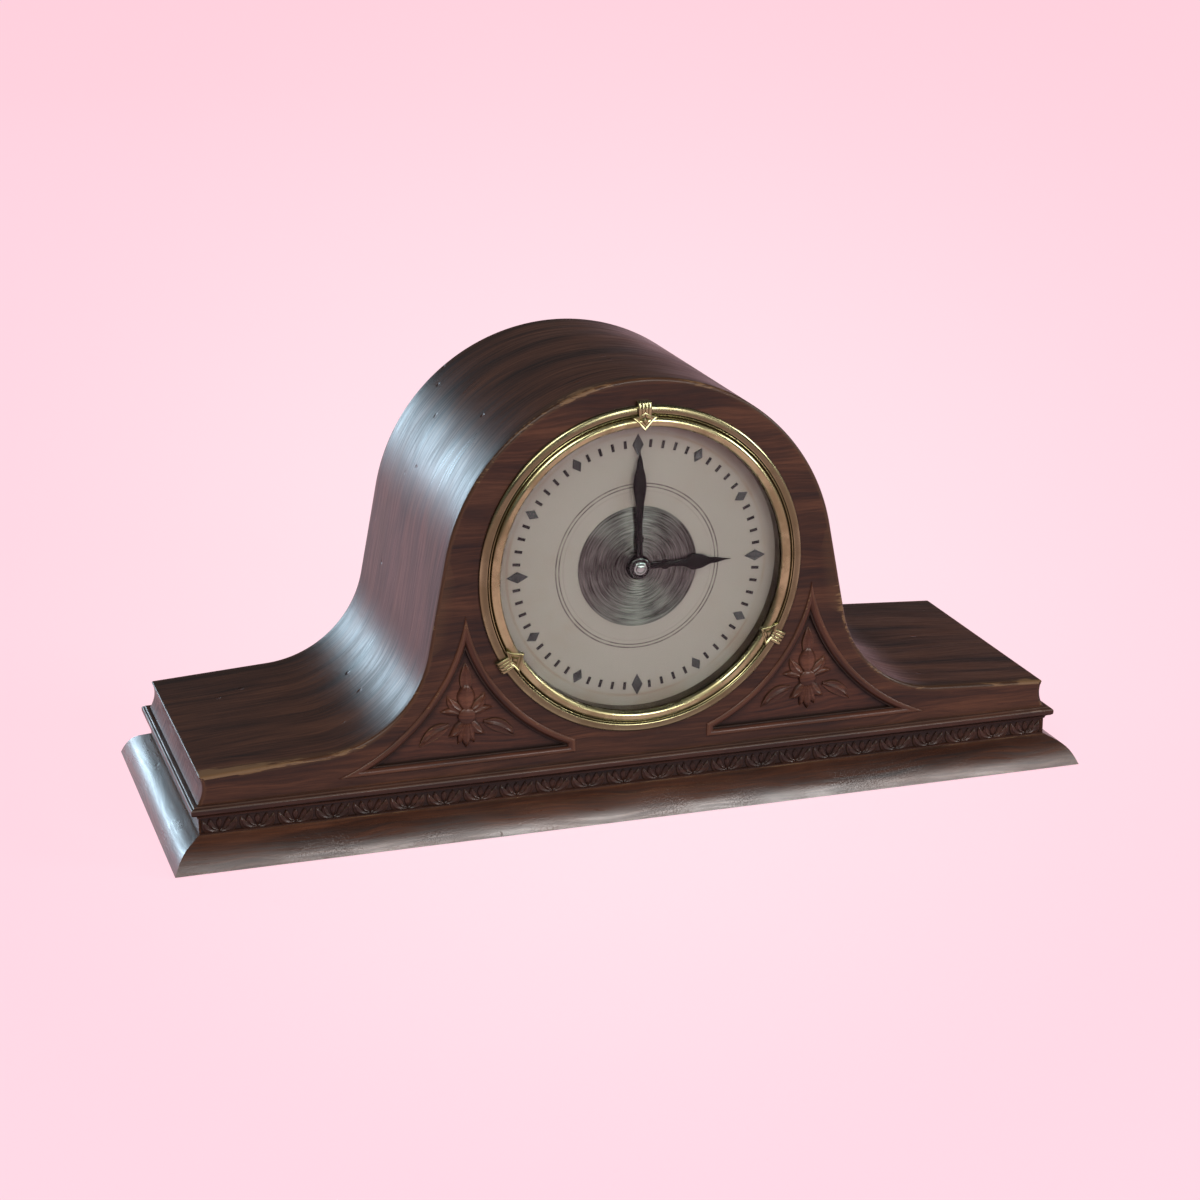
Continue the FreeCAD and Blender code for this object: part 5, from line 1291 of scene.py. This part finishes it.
@dataclass
class Bezel:
    """Turned brass bezel with three cast ornaments."""

    turns: int = 288
    ornament_angles: tuple = (90.0, 210.0, 330.0)
    bead: Pair = (74.35, -1.05)
    bead_half: float = 2.55
    bead_rise: float = 2.33
    reeds: int = 4
    reed_width: float = 1.75

    def profile(self) -> list[tuple[float, float, float]]:
        """Radius, depth and polish from the outer foot over the face to the glass; the polish also paints highlights on
        the rims and the bead's crest and shade in the hollows and the tube.
        """
        points = [
            (82.4, 0.0, 0.3), (82.4, -0.9, 0.45), (82.28, -1.3, 0.6), (81.95, -1.68, 0.55), (81.4, -1.98, 0.4),
            (80.7, -2.18, 0.3), (79.9, -2.3, 0.26), (79.1, -2.33, 0.26), (78.6, -2.26, 0.45), (78.42, -2.1, 0.3),
            (78.3, -1.75, 0.0), (78.15, -1.65, 0.0), (78.02, -1.8, 0.2), (77.9, -2.2, 0.9), (77.65, -2.38, 1.0),
            (77.4, -2.25, 0.9), (77.26, -1.8, 0.1), (77.1, -1.45, 0.0), (76.95, -1.4, 0.0),
        ]
        radius, depth = self.bead
        for i in range(19):
            turn = math.pi * i / 18
            up = math.sin(turn)
            across = self.bead_half * math.cos(turn)
            points.append((radius + across, depth - self.bead_rise * up, 0.3 + 0.62 * up**0.6))
        return points + [(71.8, -0.9, 0.1), (73.0, -0.9, 0.1), (73.0, 7.3, 0.1)]

    def build(self) -> list[bpy.types.Object]:
        """Make the ring and its ornaments.

        Returns:
            The ring and the ornaments.
        """
        ring, ties = Mesh(), Mesh()
        revolve(ring, self.profile(), self.turns)
        for angle in self.ornament_angles:
            self.add_ornament(ties, angle)
        return [ring.build("bezel_ring", "bezel", sharp=55), ties.build("bezel_ties", "bezel_ornaments", sharp=32)]

    def add_ornament(self, mesh: Mesh, angle: float) -> None:
        """Add one ornament: reeds over the band and a faceted leaf over the bead."""

        def spot(radius: float, side: float, depth: float) -> Vector:
            """Point from its distance to the centre and its sideways place."""
            x, z = polar(polar(DIAL, radius, angle), side, angle - 90)
            return at(x, depth, z)

        path = (
            # radius, depth, share of the width
            (84.6, -0.1, 1.0), (84.7, -1.2, 1.0), (83.9, -2.4, 1.0), (82.4, -3.0, 0.98), (80.4, -3.35, 0.95),
            (78.4, -3.3, 0.92), (77.2, -3.2, 0.9),
        )
        reach = self.reed_width / 2 * 0.98
        for n in range(self.reeds):
            middle = (n - (self.reeds - 1) / 2) * self.reed_width
            rows = []
            for radius, depth, squeeze in path:
                for j in range(9):
                    turn = math.pi * j / 8
                    side = (middle - reach * math.cos(turn)) * squeeze
                    rows.append(spot(radius, side, depth - 0.55 * math.sin(turn)))
            mesh.add(rows, grid_faces(len(path), 9))
        flank = ((84.6, -0.05), (84.7, -1.2), (83.9, -2.4), (82.4, -3.0), (80.4, -3.35), (77.2, -3.2))
        for side in (-reach * self.reeds, reach * self.reeds):
            verts = [spot(radius, side, d) for radius, depth in flank for d in (depth, -0.2)]
            mesh.add(verts, grid_faces(len(flank), 2), away_from(spot(80.4, 0, -1.5)))
        mesh.values["polish"] = [0.75] * len(mesh.verts)
        self.add_star(mesh, spot)

    def add_star(self, mesh: Mesh, spot: Callable, middle: float = 75.4, top: float = -4.3) -> None:
        """Add the faceted leaf of an ornament.

        Args:
            mesh: what it is added to.
            spot: gives the point for a distance to the centre, a sideways place and a depth.
            middle: the leaf's distance to the centre.
            top: depth of its highest point.
        """
        half = ((79.7, 0.0), (78.0, 2.7), (77.2, 6.7), (74.4, 3.5), (70.2, 0.0))
        star = half + tuple((r, -s) for r, s in half[3:0:-1])
        levels = (
            # share of the outline, depth, polish with painted highlight on the rims and painted shade in the hollow
            (1.0, -1.0, 0.3), (1.0, top + 1.0, 0.6), (0.95, top + 0.45, 0.9), (0.86, top + 0.3, 1.0),
            (0.76, top + 0.5, 0.8), (0.62, top + 1.15, 0.1), (0.46, top + 1.2, 0.0), (0.30, top + 0.5, 0.35),
            (0.16, top + 0.05, 0.8),
        )
        count = len(star)
        verts = [spot(lerp(middle, r, share), s * share, depth) for share, depth, _ in levels for r, s in star]
        polish = [kept for _, _, kept in levels for _ in star]
        last = (len(levels) - 1) * count
        tip = [(last + i, last + (i + 1) % count, last + count) for i in range(count)]
        verts.append(spot(middle, 0.0, top))
        mesh.add(verts, ring_faces(len(levels), count) + tip, polish=polish + [0.9])


@dataclass
class Dial:
    """Raised markers and ticks of the dial plate."""

    marker_circle: float = 61.6
    face: float = 7.5
    tick_in: float = 59.7
    tick_out: float = 63.6
    tick_half: float = 0.74
    # shift to the centre, length and half width of the lozenges
    small: tuple = (0.0, 7.6, 2.5)
    large: tuple = (0.55, 11.0, 2.85)

    def add_rings(self, mesh: Mesh, rings: Sequence[Sequence[Pair]], rises: Sequence[float]) -> None:
        """Add a bevelled mark from rings of four places and their heights over the dial."""
        verts = [at(x, self.face - rise, z) for ring, rise in zip(rings, rises) for x, z in ring]
        last = len(verts) - 4
        mesh.add(verts, ring_faces(len(rings), 4) + [(last, last + 1, last + 2, last + 3)])

    def lozenge(self, mesh: Mesh, angle: float, inward: float, length: float, half: float) -> None:
        """Add a bevelled lozenge that points to the centre."""
        place = polar(DIAL, self.marker_circle - inward, angle)
        reaches = (length / 2, half, length / 2, half)
        shares = (1.0, 1.0, 0.8, 0.62, 0.5)
        rings = [[polar(place, reach * share, angle + 90 * k) for k, reach in enumerate(reaches)] for share in shares]
        self.add_rings(mesh, rings, (0.0, 0.28, 0.42, 0.26, 0.24))

    def tick(self, mesh: Mesh, angle: float) -> None:
        """Add one bevelled minute tick."""
        middle = (self.tick_in + self.tick_out) / 2 + 0.25 * noise.noise(Vector((angle, 0.3, 0.0)))
        rings = []
        for share in (1.0, 1.0, 0.7):
            reach = (self.tick_out - self.tick_in) / 2 - (1 - share) * 0.5
            corners = ((1, 1), (1, -1), (-1, -1), (-1, 1))
            side = self.tick_half * share
            rings.append([polar(polar(DIAL, middle + r * reach, angle), s * side, angle + 90) for r, s in corners])
        self.add_rings(mesh, rings, (0.0, 0.1, 0.18))

    def build(self) -> list[bpy.types.Object]:
        """Make the markers and the ticks.

        Returns:
            The markers and the ticks.
        """
        markers, ticks = Mesh(), Mesh()
        for hour in range(12):
            self.lozenge(markers, 30 * hour, *(self.small if hour % 3 else self.large))
        for minute in range(60):
            if minute % 5:
                self.tick(ticks, 6 * minute)
        return [markers.build("dial_lozenges", "hour_markers", sharp=12), ticks.build("dial_ticks", sharp=20)]


@dataclass
class Hand:
    """Spade hand with a ridge along its middle."""

    name: str
    node: str
    body: str
    boss: float
    hole: float
    angle: float
    near: float
    far: float
    knots: Sequence[Pair]
    ridge: float = 0.35
    steps: int = 90

    def build(self) -> bpy.types.Object:
        """Make the hand.

        Returns:
            The piece.
        """
        mesh = Mesh()
        near, far = self.near, self.far
        verts = []
        for i in range(self.steps + 1):
            along = lerp(self.knots[0][0], self.knots[-1][0], i / self.steps)
            half = max(curve(self.knots, along), 0.05)
            ridge = self.ridge * min(1.0, half / 2.2)
            section = [(-1.0, far), (-1.0, near + 0.12), (-0.8, near - ridge * 0.2), (0.0, near - ridge)]
            section += [(-side, depth) for side, depth in section[2::-1]]
            for side, depth in section:
                x, z = polar(polar(DIAL, along, self.angle), side * half, self.angle + 90)
                verts.append(at(x, depth, z))
        mesh.add(verts, grid_faces(self.steps + 1, 7))
        profile = [
            (self.hole, far), (self.boss, far), (self.boss, near + 0.2), (self.boss - 0.35, near - 0.05),
            (self.hole, near - 0.05),
        ]
        revolve(mesh, profile, 64, away_from(at(0, (near + far) / 2, DIAL_Z)))
        return mesh.build(self.name, self.node, self.body, sharp=18)


HAND_PAIR = (
    Hand("hour_hand_spade", "hour_hand", "hour_wheel", 6.3, 2.85, 0, 5.4, 6.2, (
        (5.0, 1.5), (9.0, 1.45), (11.6, 1.3), (12.6, 2.1), (14.4, 2.2), (15.6, 1.35), (17.0, 1.3), (23.0, 1.6),
        (28.5, 4.0), (31.5, 3.6), (38.0, 1.5), (47.7, 0.12),
    )),
    Hand("minute_hand_spade", "minute_hand", HANDS, 5.0, 1.25, 90, 3.9, 4.6, (
        (4.0, 1.6), (9.0, 1.5), (12.4, 1.35), (13.6, 2.0), (15.6, 2.05), (16.8, 1.35), (22.0, 1.25), (24.5, 1.45),
        (25.6, 2.0), (26.8, 1.6), (30.0, 1.9), (41.5, 3.25), (44.5, 3.0), (52.0, 1.5), (59.0, 0.12),
    )),
)


def build_hand_nut() -> bpy.types.Object:
    """Make the domed nut that holds the hands.

    Returns:
        The piece.
    """
    mesh = Mesh()
    # Radius, depth and polish; the polish paints bright rings and a lit dome crest as highlight, and dark bands as
    # shade.
    rows = [
        (1.25, 3.9, 0.0), (5.3, 3.9, 0.0), (5.3, 3.5, 0.1), (5.1, 3.25, 0.3), (4.6, 3.1, 0.05), (3.9, 3.05, 0.0),
        (3.5, 3.1, 0.0), (3.3, 2.9, 0.4), (3.15, 2.62, 0.9), (2.85, 2.5, 1.0), (2.5, 2.48, 0.5), (2.3, 2.4, 0.2),
    ]
    rows += [(2.2 * along + 0.002, 2.4 - 0.95 * up, 0.5 + 0.5 * up) for along, up in quarter(8)]
    revolve(mesh, rows, 72, away_from(at(0, 3.4, DIAL_Z)))
    return mesh.build("hand_nut_dome", "hand_nut", HANDS, sharp=50)


# ---------------------------------------------------------------- studio


@dataclass(frozen=True)
class PaleFloor(Finish):
    """Pale floor that shows as one even background, with a slight vignette."""

    camera: tuple = (0.0, 0.0, 0.0)
    lit: Colour = (0.5, 0.48, 0.48, 1)
    tone: Colour = (0.12, 0.085, 0.095, 1)
    glow_middle: Colour = (0.97, 0.725, 0.790, 1)
    glow_edge: Colour = (1.0, 0.622, 0.712, 1)
    way: Pair = (0.309, 0.951)
    slope: float = 0.325

    def vignette(self, sheet: Sheet) -> Socket:
        """Share of the edge tone, 0 round the clock and 1 towards the far sides."""
        parts = sheet.node("SeparateXYZ", {0: sheet.place()}).outputs
        right, ahead = sheet.plus(parts[0], -self.camera[0]), sheet.plus(parts[1], -self.camera[1])
        across = sheet.minus(sheet.times(right, self.way[1]), sheet.times(ahead, self.way[0]))
        along = sheet.math("MAXIMUM", sheet.blend(right, self.way[0], ahead, self.way[1]), 0.3)
        side = sheet.math("DIVIDE", across, along)
        rise = sheet.minus(sheet.math("DIVIDE", self.camera[2], along), self.slope)
        away = sheet.math("SQRT", sheet.plus(sheet.times(side, side), sheet.times(rise, rise)))
        return sheet.span(away, 0.03, 0.30)

    def inputs(self, sheet: Sheet, effects: Optional[Effects]) -> dict[str, object]:
        """Values and sockets of the shader by name."""
        path = sheet.node("LightPath").outputs
        mirrored = sheet.math("MAXIMUM", path["Is Glossy Ray"], path["Is Transmission Ray"])
        seen = sheet.math("MAXIMUM", path["Is Camera Ray"], mirrored)
        return {
            "Base Color": sheet.mix(seen, self.lit, self.tone), "Emission Strength": seen,
            "Emission Color": sheet.mix(self.vignette(sheet), self.glow_middle, self.glow_edge),
            "Roughness": 1.0, "Specular IOR Level": 0.0,
        }


@dataclass
class Lamp:
    """Rectangular area light that shines from a place to an aim."""

    name: str
    place: tuple
    aim: tuple
    size: Pair
    power: float
    colour: tuple
    spread: float = 180.0

    def build(self) -> bpy.types.Object:
        """Make the light.

        Returns:
            The light.
        """
        data = bpy.data.lights.new(self.name, "AREA")
        data.shape = "RECTANGLE"
        data.size, data.size_y = self.size
        data.energy, data.color, data.spread = self.power, self.colour, math.radians(self.spread)
        return placed(self.name, data, self.place, Vector(self.aim) - Vector(self.place))


def placed(name: str, data: bpy.types.ID, place: Sequence[float], way: Sequence[float]) -> bpy.types.Object:
    """Object at a place in metres that looks a way.

    Args:
        name: name of the object.
        data: its light or camera.
        place: where it stands.
        way: where it looks.

    Returns:
        The object.
    """
    obj = bpy.data.objects.new(name, data)
    obj.location = place
    obj.rotation_euler = Vector(way).to_track_quat("-Z", "Y").to_euler()
    bpy.context.scene.collection.objects.link(obj)
    return obj


@dataclass
class Studio:
    """Floor, lights and camera."""

    camera_place: tuple = (-0.40454, -1.2515, 0.51479)
    camera_way: tuple = (0.29364, 0.90462, -0.30894)
    lens: float = 80.87
    sky: float = 0.10
    floor_profile: tuple = ((0.01, 0.0), (6.0, 0.0), (13.5, 0.0), (14.4, 0.12), (15.0, 0.5), (15.2, 0.9))
    floor_turns: int = 72
    lamps: tuple = field(default_factory=lambda: (
        Lamp("window", (-1.62, 2.78, 0.52), (-0.05, 0.0, 0.12), (2.1, 0.60), 8.8, (0.62, 0.84, 1.0), 80.0),
        Lamp("key", (-1.5, -2.3, 2.7), (0.0, 0.0, 0.08), (1.6, 1.6), 84.0, (1.0, 0.97, 0.93)),
        Lamp("low_front", (1.0, -2.8, 1.2), (0.0, 0.0, 0.06), (1.2, 0.9), 46.0, (1.0, 0.97, 0.95)),
        Lamp("side", (3.0, -1.2, 1.4), (0.0, 0.0, 0.08), (1.0, 1.0), 52.0, (1.0, 0.98, 0.96)),
    ))

    def build(self) -> None:
        """Make everything that isn't part of the clock."""
        scene = bpy.context.scene
        self.floor()
        world = bpy.data.worlds.new("studio")
        scene.world = world
        world.use_nodes = True
        sky = world.node_tree.nodes["Background"]
        sky.inputs["Color"].default_value = (0.95, 0.97, 1.0, 1)
        sky.inputs["Strength"].default_value = self.sky
        for lamp in self.lamps:
            lamp.build()
        data = bpy.data.cameras.new("camera")
        data.lens, data.sensor_width = self.lens, 36.0
        data.clip_start, data.clip_end = 0.05, 100.0
        scene.camera = placed("camera", data, self.camera_place, self.camera_way)
        scene.view_settings.view_transform = "Standard"

    def floor(self) -> None:
        """Make the plain pale floor, which rises to a low backdrop far away."""
        verts = []
        for i in range(self.floor_turns):
            turn = 2 * math.pi * i / self.floor_turns
            verts += [(reach * math.cos(turn), reach * math.sin(turn), rise) for reach, rise in self.floor_profile]
        faces = [face[::-1] for face in grid_faces(self.floor_turns, len(self.floor_profile), wrap=True)]
        mesh = bpy.data.meshes.new("floor")
        mesh.from_pydata(verts, [], faces)
        obj = bpy.data.objects.new("floor", mesh)
        bpy.context.scene.collection.objects.link(obj)
        mesh.materials.append(PaleFloor("pale_floor", self.camera_place).build())
        obj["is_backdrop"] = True


# ---------------------------------------------------------------- the clock


class Finishes:
    """All materials of the clock by use."""

    def __init__(self, effects: Effects) -> None:
        """Build every material once."""
        wood, metal = StainedWood, OldMetal
        rows = {
            "front": wood(
                "wood_front", dark=(0.009, 0.0040, 0.0030, 1), middle=(0.032, 0.0119, 0.0062, 1),
                light=(0.074, 0.0280, 0.0142, 1), wear=0.86, dents=0.25, dent_scale=70.0,
            ),
            "band": wood(
                "wood_band", middle=(0.048, 0.0180, 0.0108, 1), light=(0.094, 0.037, 0.0205, 1), wear=0.86,
                dents=0.5, dent_scale=80.0,
            ),
            "moulding": wood(
                "wood_moulding", wear=0.72, crackle=0.05, dents=0.2, roughness=0.33, specular=0.62, coat=0.2,
            ),
            "ledge": wood(
                "wood_ledge", middle=(0.030, 0.0108, 0.0064, 1), light=(0.064, 0.0235, 0.0140, 1),
                bare=(0.135, 0.094, 0.074, 1), wear=0.76, dents=0.2, edge_tone=0.3,
            ),
            "frieze": wood(
                "wood_frieze", middle=(0.026, 0.0098, 0.0062, 1), light=(0.056, 0.0215, 0.0130, 1), wear=0.5,
                recess=0.9, dents=0.1,
            ),
            "carving": wood(
                "wood_carving", middle=(0.054, 0.0185, 0.0105, 1), light=(0.110, 0.040, 0.0225, 1), wear=0.62,
                recess=0.85, dents=0.15,
            ),
            "wood_x": wood("wood_along", Grain.ALONG_X, dents=0.2),
            "wood_y": wood("wood_across", Grain.ALONG_Y, dents=0.2),
            "inside": wood(
                "wood_inside", Grain.ALONG_X, (0.12, 0.075, 0.04, 1), (0.22, 0.14, 0.08, 1), (0.30, 0.2, 0.12, 1),
                roughness=0.62, coat=0.0, dents=0.0,
            ),
            "bezel": metal("aged_brass", (0.36, 0.345, 0.190, 1), (0.22, 0.195, 0.102, 1), 0.24, 0.2, 0.05, True),
            "tube": metal("dark_brass", (0.10, 0.085, 0.045, 1), (0.07, 0.058, 0.03, 1), 0.34, 0.0, 0.02),
            "ornament": metal("cast_brass", (0.37, 0.36, 0.20, 1), (0.22, 0.20, 0.10, 1), 0.22, 0.3, 0.04, True),
            "brass": metal("clock_brass", (0.72, 0.55, 0.27, 1), (0.55, 0.40, 0.18, 1), 0.32, 0.15, 0.06),
            "steel": metal("ground_steel", (0.56, 0.56, 0.57, 1), (0.40, 0.40, 0.42, 1), 0.25, 0.1, 0.05),
            "blued": metal("blued_steel", (0.05, 0.07, 0.16, 1), (0.10, 0.08, 0.10, 1), 0.3, 0.1, 0.05),
            "chrome": metal(
                "polished_chrome", (0.33, 0.40, 0.37, 1), (0.20, 0.25, 0.23, 1), 0.16, 0.1, 0.01, True,
                (0.012, 0.013, 0.013, 1),
            ),
            "disc": SpunSteel("spun_steel"),
            "dial": DialPaint("dial_paint"),
            "marker": Enamel("marker_enamel", (0.058, 0.066, 0.066, 1), (0.032, 0.036, 0.036, 1), 0.4),
            "tick": Enamel("tick_enamel", (0.018, 0.019, 0.020, 1), (0.036, 0.036, 0.035, 1), 0.45),
            "hand": Enamel("blackened_steel", (0.0032, 0.0040, 0.0040, 1), (0.0085, 0.0088, 0.0080, 1), 0.3, 0.08),
            "glass": ClearGlass("clear_glass"),
            "felt": Felt("felt"),
        }
        self.made = {key: row.build(effects) for key, row in rows.items()}

    def dress(self, obj: bpy.types.Object, key: str) -> None:
        """Give an object one material.

        Args:
            obj: the object.
            key: name of the finish.
        """
        obj.data.materials.clear()
        obj.data.materials.append(self.made[key])
        LOG.info("%s: %s", obj.name, key)


NODE_FINISHES = {
    "felt": ("felt_pads",),
    "wood_x": ("base_board", "frieze_plain"),
    "wood_y": ("end_cheeks",),
    "inside": ("glue_blocks", "door_stop"),
    "tube": ("glass_ring",),
    "brass": (
        "movement_front_plate", "movement_back_plate", "plate_pillars", "dial_feet", "going_barrel", "barrel_cover",
        "centre_wheel", "third_wheel", "fourth_wheel", "minute_wheel", "hour_wheel", "lever_bridge", "balance_cock",
        "balance_wheel", "setting_knob", "winding_key", "door_knob", "hinge_case_leaves", "hinge_door_leaves",
        "hinge_pins", "turn_button",
    ),
    "steel": (
        "pillar_nuts", "barrel_arbor", "ratchet_wheel", "click", "click_screw", "centre_arbor", "cannon_pinion",
        "escape_wheel", "pallet_lever", "wood_screws", "hinge_door_screws",
    ),
    "blued": ("mainspring", "hairspring", "click_spring"),
    "dial": ("dial_plate",),
    "disc": ("centre_disc",),
    "glass": ("dial_glass",),
}


def smooth_node(obj: bpy.types.Object) -> None:
    """Shade a node of the frame smoothly, face by face."""
    obj.data.polygons.foreach_set("use_smooth", [True] * len(obj.data.polygons))
    obj.data.set_sharp_from_angle(angle=math.radians(32))


def build_clock() -> None:
    """Build and dress every piece of the clock."""
    finishes = Finishes(Effects())
    for key, names in NODE_FINISHES.items():
        for name in names:
            smooth_node(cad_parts[name])
            finishes.dress(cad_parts[name], key)
    finishes.dress(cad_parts["back_door"], "wood_x")
    spandrels = Spandrels()
    right = spandrels.hole()
    left = [(-x, z) for x, z in reversed(right)]
    shell = CaseShell().build([right, left])
    base = [part.build() for part in MOULDINGS]
    keys = ("front", "band", "front", "moulding", "ledge", "ledge", "frieze", "carving", "carving")
    for obj, key in zip([*shell, *base, Frieze().build(), *spandrels.build()], keys):
        finishes.dress(obj, key)
    for obj, key in zip(Bezel().build(), ("bezel", "ornament")):
        finishes.dress(obj, key)
    for obj, key in zip(Dial().build(), ("marker", "tick")):
        finishes.dress(obj, key)
    for hand in HAND_PAIR:
        finishes.dress(hand.build(), "hand")
    finishes.dress(build_hand_nut(), "chrome")


def corners() -> list[list[float]]:
    """Lowest and highest corner of what shows."""
    return [list(corner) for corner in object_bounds()]


def main() -> None:
    """Build the clock and its studio."""
    logging.basicConfig(level=logging.INFO)
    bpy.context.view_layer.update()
    build_clock()
    Studio().build()
    bpy.context.view_layer.update()


if __name__ == "__main__":
    main()
